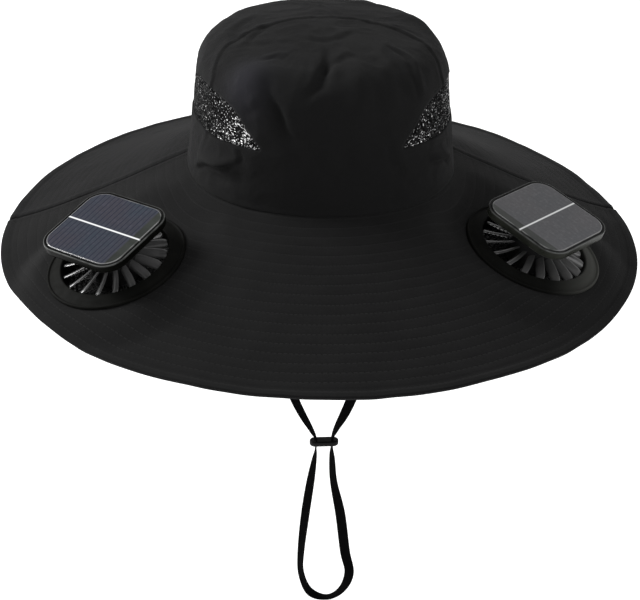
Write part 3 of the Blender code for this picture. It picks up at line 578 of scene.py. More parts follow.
crown = {
    "halfWidth": 0.0915,
    "halfLength": 0.0930,
    "planPower": 2.2,
    "height": 0.0970,
    "lean": 0.0060,
    "shoulder": 0.0270,
    "topSlope": math.radians(12),
    "cloth": 0.0016,
    "foldDepth": 0.0040,
    # azimuth, height share, turn, length and width as shares of the height, depth share
    "folds": (
        (-40, 0.52, 15, 0.26, 0.18, 1.0), (-24, 0.40, -60, 0.32, 0.08, -1.0), (-3, 0.60, 80, 0.30, 0.09, -1.0),
        (12, 0.50, 80, 0.34, 0.12, 0.7), (38, 0.56, 60, 0.26, 0.10, -0.6), (-52, 0.14, 8, 0.24, 0.06, 0.9),
        (-54, 0.07, 8, 0.24, 0.05, -0.8), (56, 0.14, -10, 0.22, 0.06, 0.9), (5, 0.20, 85, 0.26, 0.14, -0.5),
        (-130, 0.35, 70, 0.36, 0.10, -0.7), (150, 0.45, 80, 0.36, 0.14, 0.7), (110, 0.60, 20, 0.30, 0.10, 0.8),
        (-160, 0.18, 5, 0.36, 0.07, -0.8),
    ),
    # sharp creases: azimuth and share of the two ends, width and depth in metres
    "creases": (
        (-31, 0.50, -18, 0.30, 0.0030, 0.0016), (-1, 0.66, -12, 0.46, 0.0042, 0.0022), (-1, 0.66, 20, 0.70, 0.0030, 0.0009),
        (52, 0.70, 39, 0.42, 0.0026, 0.0014), (-74, 0.03, -40, 0.165, 0.0022, 0.0016), (44, 0.165, 66, 0.08, 0.0022, 0.0015),
        (-40, 0.165, -40, 0.23, 0.0018, 0.0008), (-44, 0.62, -30, 0.68, 0.0026, 0.0010), (-38, 0.40, -28, 0.43, 0.0030, 0.0012),
        (-60, 0.66, -100, 0.80, 0.0026, 0.0010), (-75, 0.62, -120, 0.70, 0.0026, 0.0010), (-40, 0.82, 60, 0.86, 0.0026, 0.0008),
        (22, 0.30, 30, 0.12, 0.0040, 0.0010), (-8, 0.28, 2, 0.10, 0.0040, 0.0008), (120, 0.50, 165, 0.66, 0.0032, 0.0014),
        (-115, 0.50, -160, 0.40, 0.0032, 0.0014), (100, 0.12, 150, 0.18, 0.0028, 0.0012), (-105, 0.10, -150, 0.16, 0.0028, 0.0012),
        (170, 0.75, -150, 0.60, 0.0030, 0.0012), (80, 0.60, 95, 0.72, 0.0026, 0.0010),
    ),
    "wrinkle": 0.0005,
    # the seam seen from the side: y as a share of halfLength, z as a share of height
    "seam": (
        (-0.30, -0.12), (-0.36, 0.08), (-0.44, 0.28), (-0.48, 0.52), (-0.45, 0.75), (-0.39, 0.82),
        (-0.30, 0.88), (-0.19, 0.925), (-0.06, 0.955), (0.05, 0.98), (0.16, 1.005), (0.40, 1.08),
    ),
    "piping": 0.0007,  # how far the seam stands up
    # net window: azimuth, low and high height shares
    "window": (
        (98, 0.230, 0.330), (84, 0.235, 0.400), (70, 0.240, 0.425), (56, 0.232, 0.415),
        (45, 0.238, 0.385), (37, 0.240, 0.310), (31, 0.242, 0.256),
    ),
}
crown["sweep"] = math.pi / 2 - crown["topSlope"]
crown["flat"] = crown["halfWidth"] - crown["lean"] - crown["shoulder"] * (1 - math.cos(crown["sweep"]))
crown["dome"] = crown["flat"] * math.tan(crown["topSlope"]) / 2
crown["side"] = crown["height"] - crown["dome"] - crown["shoulder"] * math.sin(crown["sweep"])
crown["length"] = crown["side"] + crown["shoulder"] * crown["sweep"] + crown["flat"]


def plan(azimuth):
    # A rounded square's outline for a half width of 1, by a power above 2 of x and y.
    x, y = np.sin(azimuth), -np.cos(azimuth)
    scale = (np.abs(x) ** crown["planPower"] + np.abs(y) ** crown["planPower"]) ** (-1 / crown["planPower"])
    return x * scale, y * scale * crown["halfLength"] / crown["halfWidth"]


def turnBetween(a, b):
    return (a - b + np.pi) % (2 * np.pi) - np.pi


def foldOffset(azimuth, share):
    # Each fold pushes the wall out or in by a Gaussian of an ellipse on the wall.
    total = np.zeros(np.broadcast(azimuth, share).shape)
    for at, up, turn, length, width, depth in crown["folds"]:
        across = turnBetween(azimuth, np.radians(at)) * crown["halfWidth"]
        rise = (share - up) * crown["length"]
        turn = np.radians(turn)
        along = across * np.cos(turn) + rise * np.sin(turn)
        side = rise * np.cos(turn) - across * np.sin(turn)
        reach = (along / (length * crown["height"])) ** 2 + (side / (width * crown["height"])) ** 2
        total = total + depth * crown["foldDepth"] * np.exp(-2 * reach)
    return total * np.clip(share / 0.06, 0, 1) * np.clip((1 - share) / 0.3, 0, 1)


def creaseOffset(azimuth, share):
    # Each crease is a valley along a line between two places, with a softer ridge beside it, fading at its ends.
    total = np.zeros(np.broadcast(azimuth, share).shape)
    for a0, s0, a1, s1, width, depth in crown["creases"]:
        across = turnBetween(azimuth, np.radians(a0)) * crown["halfWidth"]
        rise = (share - s0) * crown["length"]
        runX, runY = turnBetween(np.radians(a1), np.radians(a0)) * crown["halfWidth"], (s1 - s0) * crown["length"]
        length = math.hypot(runX, runY)
        along = (across * runX + rise * runY) / length / length
        side = (rise * runX - across * runY) / length
        side = side + 0.0012 * np.sin(along * 9 + a0)
        ends = ease(along / 0.3 + 0.3) * ease((1 - along) / 0.3 + 0.3)
        total = total + depth * ends * (0.7 * np.exp(-(((side - 1.5 * width) / (1.4 * width)) ** 2)) - np.exp(-((side / width) ** 2)))
    return total * np.clip(share / 0.03, 0, 1)


def crownPoint(azimuth, share, out):
    # The wall's profile, a straight lean, an arc and a low dome, carried round the plan's outline.
    azimuth, share = np.broadcast_arrays(np.asarray(azimuth, float), np.asarray(share, float))
    ends = np.cumsum([crown["side"], crown["shoulder"] * crown["sweep"], crown["flat"]]) / crown["length"]
    rise = np.minimum(share / ends[0], 1)
    bend = np.clip((share - ends[0]) / (ends[1] - ends[0]), 0, 1) * crown["sweep"]
    top = np.clip((share - ends[1]) / (1 - ends[1]), 0, 1)
    facing = bend + top * crown["topSlope"]
    radius = crown["halfWidth"] - crown["lean"] * rise - crown["shoulder"] * (1 - np.cos(bend)) - crown["flat"] * top
    radius = radius + out * np.cos(facing)
    height = crown["side"] * rise + crown["shoulder"] * np.sin(bend) + crown["dome"] * (1 - (1 - top) ** 2)
    x, y = plan(azimuth)
    return np.stack([radius * x, radius * y, height + out * np.sin(facing)], -1)


def wallOut(azimuth, share):
    # How far the cloth stands out: folds, creases and small wrinkles that run mostly up and down.
    rough = crownPoint(azimuth, share, 0)
    bent = rough + 0.006 * np.stack([lumps(rough, 0.020, 3), lumps(rough, 0.020, 4), lumps(rough, 0.020, 5)], -1)
    small = -np.abs(lumps(bent * np.array([1, 1, 0.6]), 0.014, 7)) - 0.5 * np.abs(lumps(bent, 0.007, 8)) + 0.3
    small = small * crown["wrinkle"] * 1.6
    return foldOffset(azimuth, share) + creaseOffset(azimuth, share) + small * ease(share / 0.04) * ease((1 - share) / 0.06)


def seamDistance(points):
    # Signed distance, in the side view, from the seam's line: positive behind it. Divided by its own slope
    # on the surface, it is the distance along the cloth.
    line = through(crown["seam"], 60) * np.array([crown["halfLength"], crown["height"]])
    y, z = points[..., 1], points[..., 2]
    best, sign = np.full(y.shape, 1e9), np.ones(y.shape)
    for (y0, z0), (y1, z1) in zip(line[:-1], line[1:]):
        length = math.hypot(y1 - y0, z1 - z0)
        t = np.clip(((y - y0) * (y1 - y0) + (z - z0) * (z1 - z0)) / length**2, 0, 1)
        away = np.hypot(y - y0 - t * (y1 - y0), z - z0 - t * (z1 - z0))
        side = np.sign((y - y0) * (z1 - z0) - (z - z0) * (y1 - y0))
        closer = away < best
        best, sign = np.where(closer, away, best), np.where(closer, side, sign)
    distance = best * sign
    slopes = []
    for axis in (0, 1):
        step = np.linalg.norm(np.gradient(points, axis=axis), axis=-1)
        slopes.append(np.gradient(distance, axis=axis) / np.maximum(step, 1e-5))
    return distance / np.clip(np.hypot(*slopes), 0.15, 1)


def windowEdges(azimuth):
    # Low and high height shares of the window's band at any azimuth, continued past its two ends.
    rows = through(crown["window"][::-1], 80)
    past = np.array([[0, 0.225, 0.33], [20, 0.238, 0.275]])
    after = np.array([[112, 0.215, 0.34], [140, 0.20, 0.36], [181, 0.20, 0.36]])
    table = np.concatenate([past, rows, after])
    at = np.abs(np.degrees(azimuth))
    return np.interp(at, table[:, 0], table[:, 1]), np.interp(at, table[:, 0], table[:, 2])


def makeCrown():
    # Columns run round the crown with one at each end of a window. Rows run up in three bands, with one
    # along each window's lower and upper edge, so that the windows' faces can be left out cleanly.
    wide, narrow = crown["window"][0][0], crown["window"][-1][0]
    stops = [-180, -wide, -narrow, narrow, wide, 180]
    counts = [80, 72, 62, 72, 80]
    azimuth = np.concatenate([np.linspace(a, b, n + 1)[:-1] for a, b, n in zip(stops, stops[1:], counts)] + [[180]])
    azimuth = np.radians(azimuth)
    low, high = windowEdges(azimuth)
    bands = [26, 22, 52]
    start = -0.0010 / crown["length"]
    rows = [start + (low - start) * t for t in np.linspace(0, 1, bands[0] + 1)[:-1]]
    rows += [low + (high - low) * t for t in np.linspace(0, 1, bands[1] + 1)[:-1]]
    rows += [high + (1 - high) * t for t in np.linspace(0, 1, bands[2] + 1)]
    share = np.array(rows)
    azimuth = np.broadcast_to(azimuth, share.shape)
    out = wallOut(azimuth, share)
    distance = seamDistance(crownPoint(azimuth, share, 0))
    piping = np.exp(-(((distance - 0.0006) / 0.0012) ** 2)) - 0.5 * np.exp(-(((distance + 0.0018) / 0.0010) ** 2))
    hem = np.exp(-((share * crown["length"] / 0.0022) ** 2))
    out = out + crown["piping"] * piping * (0.25 + 0.75 * ease((share - 0.28) / 0.08)) * ease((1 - share) / 0.02) + 0.0005 * hem
    points = crownPoint(azimuth, share, out)
    columns = azimuth.shape[1]
    quads = gridQuads(*share.shape)
    i, j = quads[:, 0] // columns, quads[:, 0] % columns
    middle = np.degrees(azimuth[0, :-1] + azimuth[0, 1:])[j] / 2
    inWindow = (i >= bands[0]) & (i < bands[0] + bands[1]) & (np.abs(middle) > narrow) & (np.abs(middle) < wide)
    uv = np.stack([azimuth * crown["halfWidth"], share * crown["length"]], -1)
    front = ease(0.5 - distance / 0.0012)
    # bulgeLight: where the front panel's puffed side is painted lighter, painted light round azimuth -41.
    bulgeLight = np.exp(-((turnBetween(azimuth, np.radians(-41)) * crown["halfWidth"] / 0.016) ** 2) - (((share - 0.49) * crown["length"] / 0.020) ** 2))
    stitch = np.exp(-(((distance - 0.0042) / 0.0006) ** 2))
    shadow = np.exp(-(((distance + 0.0014) / 0.0012) ** 2)) * ease((share - 0.3) / 0.06)
    piece = makePiece("crown_cloth", points, quads[~inWindow], "hat", uv, {"panel": front, "bulgeLight": bulgeLight, "stitch": stitch, "shadow": shadow}, outFrom=(0, 0, 0.03), sharp=0)
    piece.data.materials.append(clothCrown)
    thicken(piece, crown["cloth"])
    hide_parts("crown_front", "crown_back")
    return piece


makeCrown()
print("crown made")

# ---- net windows

net = {
    "columns": 40,
    "rows": 12,
    "jitter": 0.38,  # of a cell
    # share of a cell's half size that is open, from the wide end to the point
    "hole": {-1: (0.30, 0.24, 0.30, 0.42), 1: (0.36, 0.34, 0.22, 0.36)},
    "spread": 0.7,  # of the holes' sizes
    "wall": 0.0004,
    "binding": 0.0004,
}


def windowPoint(azimuth, share, side, inset):
    return crownPoint(side * azimuth, share, wallOut(side * azimuth, share) - inset)


def makeNet(side, word):
    # A grid of cells whose corners are shaken, each cell a ring of eight quads between its outline, four
    # corners and four edge middles, and an eight-sided hole.
    wide, narrow = np.radians(crown["window"][0][0]), np.radians(crown["window"][-1][0])
    u, v = np.meshgrid(np.linspace(0, 1, net["columns"] + 1), np.linspace(0, 1, net["rows"] + 1))
    shake = np.random.default_rng(11 + side).uniform(-net["jitter"], net["jitter"], (2, *u.shape))
    inner = np.zeros(u.shape)
    inner[1:-1, 1:-1] = 1
    stagger = np.where(np.arange(net["rows"] + 1) % 2, 0.25, -0.25)[:, None]
    u = u + (shake[0] + stagger) * inner / net["columns"]
    v = v + shake[1] * inner / net["rows"]
    corners = np.stack([u, v], -1)
    a, b, c, d = corners[:-1, :-1], corners[:-1, 1:], corners[1:, 1:], corners[1:, :-1]
    outline = np.stack([a, (a + b) / 2, b, (b + c) / 2, c, (c + d) / 2, d, (d + a) / 2], 2)
    middle = (a + b + c + d)[:, :, None] / 4
    pull = np.array([0.74, 1.0, 0.74, 1.0, 0.74, 1.0, 0.74, 1.0])[:, None]
    pull = pull * np.interp(outline[..., :1], np.linspace(0, 1, 4), net["hole"][side])
    grow = 1 + np.random.default_rng(31 + side).uniform(-net["spread"], net["spread"], (*a.shape[:2], 1, 1))
    hole = middle + (outline - middle) * np.minimum(pull * grow, 0.9)
    both = np.stack([outline, hole], 3).reshape(-1, 8, 2, 2)
    azimuth = wide + (narrow - wide) * both[..., 0]
    low, high = windowEdges(azimuth)
    share = low + (high - low) * both[..., 1]
    points = windowPoint(azimuth, share, side, 0.0006)
    first = np.arange(len(both))[:, None] * 16 + np.arange(8) * 2
    after = np.roll(first, -1, axis=1)
    quads = np.stack([first, after, after + 1, first + 1], -1).reshape(-1, 4)
    # glint: where the painted highlights are brightest, towards the point of the left window and the wide end of the
    # right one.
    glint = ease(both[..., 0] * 1.6 - 0.6)
    if side > 0:
        glint = 1.1 * ease((0.60 - both[..., 0]) / 0.26) + 0.5 * glint
    piece = makePiece(f"net_{word}", points, quads, "hat", values={"glint": glint}, outFrom=(0, 0, 0.03), merge=1e-5, sharp=0)
    piece.data.materials.append(netThread)
    thicken(piece, net["wall"])
    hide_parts(f"vent_{word}")


def makeBinding(side, word):
    # A narrow rolled edge: a small ring carried round the window's outline, standing on the wall.
    wide, narrow = np.radians(crown["window"][0][0]), np.radians(crown["window"][-1][0])
    run = np.linspace(wide, narrow, 90)
    low, high = windowEdges(run)
    end = np.linspace(0, 1, 12)[1:-1]
    azimuth = np.concatenate([run, np.full(4, narrow), run[::-1], np.full(10, wide)])
    tip = np.linspace(0, 1, 6)[1:-1]
    share = np.concatenate([low, low[-1] + (high[-1] - low[-1]) * tip, high[::-1], high[0] + (low[0] - high[0]) * end])
    line = windowPoint(azimuth, share, side, 0.0003)
    line = np.concatenate([line, line[:1]])
    tangent = np.roll(line[:-1], -1, 0) - np.roll(line[:-1], 1, 0)
    tangent = np.concatenate([tangent, tangent[:1]])
    tangent /= np.linalg.norm(tangent, axis=1)[:, None]
    outward = line * np.array([1, 1, 0.15])
    outward -= tangent * (outward * tangent).sum(1)[:, None]
    outward /= np.linalg.norm(outward, axis=1)[:, None]
    cross = np.cross(tangent, outward)
    angle = np.linspace(0, 2 * np.pi, 11)
    points = line[:, None] + (outward[:, None] * np.sin(angle)[:, None] * 0.75 + cross[:, None] * np.cos(angle)[:, None]) * net["binding"]
    along = np.concatenate([[0], np.cumsum(np.linalg.norm(np.diff(line, axis=0), axis=1))])
    uv = np.stack([along[:, None] + 0 * angle, angle * net["binding"] + 0 * along[:, None]], -1)
    piece = makePiece(f"window_binding_{word}", points, gridQuads(*points.shape[:2]), "hat", uv, closed=True, sharp=0)
    piece.data.materials.append(clothBinding)


clothBinding = clothMaterial("binding_cloth", times(cloth["rear"], 0.6), False)
for side, word in ((-1, "left"), (1, "right")):
    makeNet(side, word)
    makeBinding(side, word)
print("nets made")

# ---- brim

fan = {
    "azimuth": {-1: math.radians(59.0), 1: math.radians(61.3)},  # of the left and the right fan
    "reach": 0.1590,
    "shift": -0.0036,
    "slope": math.radians(18.0),
    "rise": 0.0003,
    "flange": 0.0472,
    "opening": 0.0365,
    "sleeve": 0.0383,
    "depth": 0.0140,
    "lip": 0.0036,
}
brim = {
    "radius": 0.2222,
    "forward": 0.0064,
    "drop": 0.0565,
    "lift": 0.0033,
    "flare": 0.13,
    "cloth": 0.0020,
    "seam": 99.0,  # azimuth of the side seams
    "seatMargin": 0.0060,
    "seatBlend": 0.0260,
    "seatEdge": 0.5,
    "hem": 0.0065,
    "hole": 0.0402,  # cloth nearer than this to a fan's middle is left out
}


def edgeDrop(azimuth):
    return brim["drop"] - brim["lift"] * np.cos(2 * azimuth)


def fall(share):
    return (1 + brim["flare"]) * share - brim["flare"] * share**4


def fanFrame(side):
    # The fan's frame: its origin on the seat, X outwards and downhill, Z along the fan's axis.
    azimuth = side * fan["azimuth"][side]
    out = Vector((math.sin(azimuth), -math.cos(azimuth), 0))
    up = Vector((0, 0, math.cos(fan["slope"]))) + out * math.sin(fan["slope"])
    foot = out * fan["reach"] + Vector((fan["shift"], -brim["forward"], 0))
    share = (fan["reach"] - crown["halfWidth"]) / (brim["radius"] - crown["halfWidth"])
    foot.z = -edgeDrop(azimuth) * fall(share) + fan["rise"]
    along = up.cross(out).normalized()
    return Matrix.Translation(foot) @ Matrix((along.cross(up), along, up)).transposed().to_4x4()


def brimPoint(azimuth, share):
    # Straight lines from the crown's outline to the edge's circle, falling by a gentle curve, and drawn
    # flat round each fan.
    x, y = plan(azimuth)
    inside = crown["halfWidth"] - crown["cloth"]
    x = inside * x * (1 - share) + brim["radius"] * np.sin(azimuth) * share
    y = inside * y * (1 - share) - (brim["radius"] * np.cos(azimuth) + brim["forward"]) * share
    z = -edgeDrop(azimuth) * fall(share)
    for side in (-1, 1):
        matrix = fanFrame(side)
        centre, up = np.array(matrix.translation), np.array(matrix.col[2][:3])
        flat = centre[2] - ((x - centre[0]) * up[0] + (y - centre[1]) * up[1]) / up[2]
        away = np.sqrt((x - centre[0]) ** 2 + (y - centre[1]) ** 2 + (flat - centre[2]) ** 2)
        pull = 1 - ease((away - fan["flange"] - brim["seatMargin"]) / brim["seatBlend"])
        pull = pull * (1 - (1 - brim["seatEdge"]) * np.clip(1 - (1 - share) * 10, 0, 1))
        pull = pull * np.clip(share * 10, 0, 1)  # none at the crown's foot
        z = z + (flat - z) * pull
    return np.stack([x, y, z], -1)


def makeBrim(name, start, end, columns, rows, material, nodes):
    # The panel's grid, with soft waves, a raised hem at the edge and a dip along each side seam.
    azimuth, share = np.meshgrid(np.radians(np.linspace(start, end, columns)), np.linspace(0, 1, rows))
    points = brimPoint(azimuth, share)
    width = brim["radius"] - crown["halfWidth"]
    radial = share * width
    fromEdge = width - radial
    arc = crown["halfWidth"] + radial
    toSeam = np.minimum(azimuth - np.radians(start), np.radians(end) - azimuth) * arc
    wave = 0.0011 * lumps(points, 0.050, 21) * ease(radial / 0.03) + 0.00035 * lumps(points, 0.014, 22)
    near = np.full(share.shape, 1.0)
    for side in (-1, 1):
        near = np.minimum(near, ease((np.linalg.norm(points - np.array(fanFrame(side).translation), axis=-1) - 0.048) / 0.02))
    hem = 0.0005 * ease((brim["hem"] - fromEdge) / 0.0012) - 0.0005 * np.exp(-(((fromEdge - brim["hem"]) / 0.0009) ** 2))
    dip = -0.0009 * np.exp(-((toSeam / 0.0014) ** 2)) + 0.0004 * np.exp(-(((toSeam - 0.0045) / 0.0022) ** 2))
    points[..., 2] += (wave + dip) * near + hem
    matrix = [np.array(fanFrame(side).translation) for side in (-1, 1)]
    quads = gridQuads(rows, columns)
    centres = points.reshape(-1, 3)[quads].mean(1)
    keep = np.ones(len(quads), bool)
    for centre in matrix:
        keep &= np.linalg.norm(centres - centre, axis=1) > brim["hole"]
    uv = np.stack([azimuth * 0.155, radial], -1)
    piece = makePiece(name, points, quads[keep], "hat", uv, outFrom=(0, 0, -3), sharp=0)
    piece.data.materials.append(material)
    thicken(piece, brim["cloth"])
    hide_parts(*nodes)
    return piece


makeBrim("brim_front_cloth", -brim["seam"], brim["seam"], 331, 84, clothBrim, ["brim_front"])
makeBrim("brim_rear_cloth", brim["seam"], 360 - brim["seam"], 271, 84, clothBrimRear, ["brim_rear"])
print("brim made")

# ---- fans

blades = {
    "count": 18,
    "motor": 0.0120,
    "motorTop": 0.0100,
    "post": 0.0050,
    "gap": 0.0006,
    "hubWall": 0.0042,
    "hubBottom": -0.0080,
    "hubTop": 0.0150,
    "tipGap": 0.0012,
    "rootChord": 0.0066,
    "tipChord": 0.0066,
    "rootPitch": math.radians(48),
    "tipPitch": math.radians(34),
    "rootHeight": 0.0045,
    "tipHeight": 0.0010,
    "wall": 0.0011,
    "camber": 0.0009,
    "sweep": 0.05,  # radians that the tip lags behind the root
}
guard = {
    "ribs": 9,
    "ribWidth": 0.0020,
    "fineRibs": 5,  # between two of the nine
    "fineWidth": 0.0009,
    "thickness": 0.0040,
    "rings": 7,
    "ringWidth": 0.0013,
    "inset": 0.0005,
}
panel = {
    "side": 0.0648,
    "corner": 0.0140,
    "thickness": 0.0060,
    "height": 0.0283,
    "turn": math.radians(18.8),
    "lift": math.radians(3.8),  # raises its outer side, from lying parallel to the fan
    "lean": math.radians(3.0),  # lowers its front side
    "rim": 0.0020,
    "proud": 0.0003,
    "cell": 0.0014,
}


def arc(centre, radius, start, end, count):
    # Points of a circular arc in a profile, by angle in degrees.
    angle = np.radians(np.linspace(start, end, count))
    return [(centre[0] + radius * math.cos(a), centre[1] + radius * math.sin(a)) for a in angle]


def turnedPiece(name, profile, sides, matrix, body, material, nodes, sharp=35, bend=None):
    grid = turnedGrid(list(profile) + [profile[0]], sides)
    if bend:
        grid = bend(grid)
    piece = makePiece(name, place(grid, matrix), gridQuads(*grid.shape[:2]), body, closed=True, sharp=sharp)
    piece.data.materials.append(material)
    if nodes:
        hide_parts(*nodes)
    return piece


def sweptPiece(name, sections, matrix, body, material, nodes, sharp=40):
    # Several tubes in one piece: sections[n] is a grid of points, each tube's first and last row closed to a point.
    tubes, quads, count = [], [], 0
    for grid in sections:
        grid = np.concatenate([0 * grid[:1] + grid[0, :-1].mean(0), grid, 0 * grid[:1] + grid[-1, :-1].mean(0)])
        tubes.append(grid.reshape(-1, 3))
        quads.append(gridQuads(*grid.shape[:2]) + count)
        count += len(tubes[-1])
    piece = makePiece(name, place(np.concatenate(tubes), matrix), np.concatenate(quads), body, closed=True, sharp=sharp)
    piece.data.materials.append(material)
    if nodes:
        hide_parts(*nodes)
    return piece


def makeRing(word, matrix):
    # The flange's section: a rolled lip at the opening, a gentle fall and a bead at its edge; below the
    # cloth the sleeve with its lip.
    o, s, f = fan["opening"], fan["sleeve"], fan["flange"]
    profile = arc((o + 0.0010, 0.0032), 0.0010, 180, 60, 7)
    profile += [(o + 0.0032, 0.0037), (o + 0.0062, 0.0027), (f - 0.0030, 0.0017), (f - 0.0020, 0.0016)]
    profile += arc((f - 0.0010, 0.0013), 0.0010, 110, 0, 8) + [(f, 0.0003), (s, 0.0003), (s, -0.0023), (s + fan["lip"] - 0.0004, -0.0023)]
    profile += [(s + fan["lip"], -0.0027), (s + fan["lip"], -0.0034), (s + fan["lip"] - 0.0004, -0.0038), (s, -0.0038), (s, -fan["depth"]), (o, -fan["depth"]), (o, -0.0020), (o, 0.0020)]
    return turnedPiece(f"fan_flange_{word}", profile, 120, matrix, "hat", housingPlastic, [f"fan_ring_{word}"])


def makeGuard(word, matrix):
    # Nine rounded ribs from the motor's seat to the sleeve, fine ones between them, and concentric rings.
    low, high = -fan["depth"], guard["thickness"] - fan["depth"]
    can = blades["motor"]
    angle = np.linspace(0, 2 * np.pi, 17)
    x, y = np.cos(angle), np.sin(angle)
    reach = np.linspace(can - 0.001, fan["opening"] + 0.0008, 3)[:, None]
    ribs, each = [], guard["fineRibs"] + 1
    for number in range(guard["ribs"] * each):
        width, tall = (guard["fineWidth"], 0.8) if number % each else (guard["ribWidth"], 1.0)
        section = np.stack([width / 2 * np.sign(x) * np.abs(x) ** 0.4, tall * guard["thickness"] / 2 * np.sign(y) * np.abs(y) ** 0.4], -1)
        turn = 2 * np.pi * number / guard["ribs"] / each
        out, side = np.array([math.cos(turn), math.sin(turn), 0]), np.array([-math.sin(turn), math.cos(turn), 0])
        ribs.append(out * reach[..., None] + side * section[None, :, :1] + np.array([0, 0, 1]) * ((low + high) / 2 + section[None, :, 1:]))
    sweptPiece(f"guard_ribs_{word}", ribs, matrix, "hat", corePlastic, [])
    for radius in np.linspace(can + 0.0030, fan["opening"] - 0.0024, guard["rings"]):
        half, b, t = guard["ringWidth"] / 2, low + guard["inset"], high - guard["inset"]
        profile = [(radius - half, b + 0.0004), (radius - half + 0.0004, b), (radius + half - 0.0004, b), (radius + half, b + 0.0004)]
        profile += [(radius + half, t - 0.0004), (radius + half - 0.0004, t), (radius - half + 0.0004, t), (radius - half, t - 0.0004)]
        turnedPiece(f"guard_ring_{word}_{round(radius * 1e4)}", profile, 72, matrix, "hat", corePlastic, [])
    profile = [(0, low), (can, low), (can + 0.0006, low + 0.0006), (can + 0.0006, high - 0.0003), (can + 0.0003, high), (0, high)]
    turnedPiece(f"guard_seat_{word}", profile, 64, matrix, "hat", corePlastic, [])


def panelTilt(side):
    # The panel's lift and lean about the middle of its underside, in the fan's frame.
    pivot = Vector((0, 0, panel["height"] - panel["thickness"]))
    return Matrix.Translation(pivot) @ Matrix.Rotation(-panel["lift"], 4, "Y") @ Matrix.Rotation(side * panel["lean"], 4, "X") @ Matrix.Translation(-pivot)


def makeMotor(side, word, matrix):
    # The motor's can on the guard, and the post up to the panel, spread a little under it and sloped as it is.
    can, top, post = blades["motor"], blades["motorTop"], blades["post"]
    foot = guard["thickness"] - fan["depth"] + 0.0003
    under = panel["height"] - panel["thickness"] - 0.0003
    profile = [(0, foot), (can - 0.0006, foot), (can, foot + 0.0006), (can, top - 0.0010)] + arc((can - 0.0010, top - 0.0010), 0.0010, 0, 90, 5)
    profile += [(post, top), (post, under - 0.0012), (post + 0.0012, under), (0, under)]
    facing = panelTilt(side).col[2]

    def slope(grid):
        grid[..., 2] -= (grid[..., 0] * facing[0] + grid[..., 1] * facing[1]) / facing[2] * ease((grid[..., 2] - top) / (under - 0.0012 - top))
        return grid

    turnedPiece(f"motor_{word}", profile, 64, matrix, "hat", corePlastic, [f"fan_post_{word}"], bend=slope)


def makeImpeller(word, matrix, body):
    # Hub: a cup turned with a rounded shoulder. Blades: a twisted, cambered sheet from hub to tip with the
    # tip's corners drawn in; rows run outwards, columns round the thin section.
    can, wall, bore = blades["motor"] + blades["gap"], blades["hubWall"], blades["post"] + blades["gap"]
    hub, top, roof = can + wall, blades["hubTop"], blades["motorTop"] + blades["gap"]
    profile = [(bore, roof), (can - 0.001, roof), (can, roof - 0.001), (can, blades["hubBottom"]), (hub - 0.0006, blades["hubBottom"]), (hub, blades["hubBottom"] + 0.0006), (hub, top - 0.0045)]
    profile += arc((hub - 0.0040, top - 0.0040), 0.0040, 5, 85, 9) + [(bore + 0.0022, top), (bore + 0.0012, top - 0.0006), (bore, top - 0.0008)]
    turnedPiece(f"impeller_hub_{word}", profile, 72, matrix, body, corePlastic, [])
    span = np.linspace(0, 1, 17)
    root, tip = hub - 0.0008, fan["opening"] - blades["tipGap"]
    radius = root + span * (tip - root)
    chord = blades["rootChord"] + span * (blades["tipChord"] - blades["rootChord"])
    chord = chord * (1 - 0.22 * (np.maximum(span - 0.88, 0) / 0.12) ** 2)
    pitch = blades["rootPitch"] + span * (blades["tipPitch"] - blades["rootPitch"])
    height = blades["rootHeight"] + span * (blades["tipHeight"] - blades["rootHeight"])
    angle = np.linspace(0, 2 * np.pi, 21)
    t = np.cos(angle) / 2
    offset = np.sign(np.sin(angle)) * np.abs(np.sin(angle)) ** 0.5 * blades["wall"] / 2
    run, rise = t * chord[:, None], offset + blades["camber"] * (1 - (2 * t) ** 2) + 0 * chord[:, None]
    c, s = np.cos(pitch)[:, None, None], np.sin(pitch)[:, None, None]
    up = np.array([0, 0, 1.0])
    shapes = []
    for number in range(blades["count"]):
        turn = 2 * math.pi * number / blades["count"] - blades["sweep"] * span**2
        out = np.stack([np.cos(turn), np.sin(turn), 0 * turn], -1)[:, None]
        along = np.stack([-np.sin(turn), np.cos(turn), 0 * turn], -1)[:, None]
        shapes.append(out * radius[:, None, None] + up * height[:, None, None] + (along * c + up * s) * run[..., None] + (up * c - along * s) * rise[..., None])
    sweptPiece(f"impeller_blades_{word}", shapes, matrix, body, bladePlastic, [f"impeller_{word}"], 50)


def squareLoop(inset, height, steps=10):
    # A square with round corners, one row of points, first repeated at the end.
    side, corner = panel["side"] - 2 * inset, max(panel["corner"] - inset, 0.0005)
    points = []
    for quarter in range(4):
        angle = (quarter + np.linspace(0, 1, steps)) * math.pi / 2
        centre = (side / 2 - corner) * math.sqrt(2)
        turn = quarter * math.pi / 2 + math.pi / 4
        points += [(centre * math.cos(turn) + corner * math.cos(a), centre * math.sin(turn) + corner * math.sin(a), height) for a in angle]
    return np.array(points + points[:1])


def loftPiece(name, loops, edge, wall, matrix, material, nodes, flip=1.0):
    # Outlines stacked into one closed solid, its two ends drawn to their middles. edge is each outline's share of the
    # painted highlight, a pale line round the top, and wall its share of the painted light on the side wall, which is
    # greyer.
    grid = np.array([0 * loops[0] + [0, 0, loops[0][0, 2]], *loops, 0 * loops[-1] + [0, 0, loops[-1][0, 2]]])
    values = {key: np.array([0, *shares, 0], float)[:, None] + np.zeros(grid.shape[:2]) for key, shares in (("edge", edge), ("wall", wall))}
    piece = makePiece(name, place(grid, matrix), gridQuads(*grid.shape[:2]), "hat", grid[..., :2] * np.array([1, flip]), values, closed=True, sharp=30)
    piece.data.materials.append(material)
    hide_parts(*nodes)
    return piece


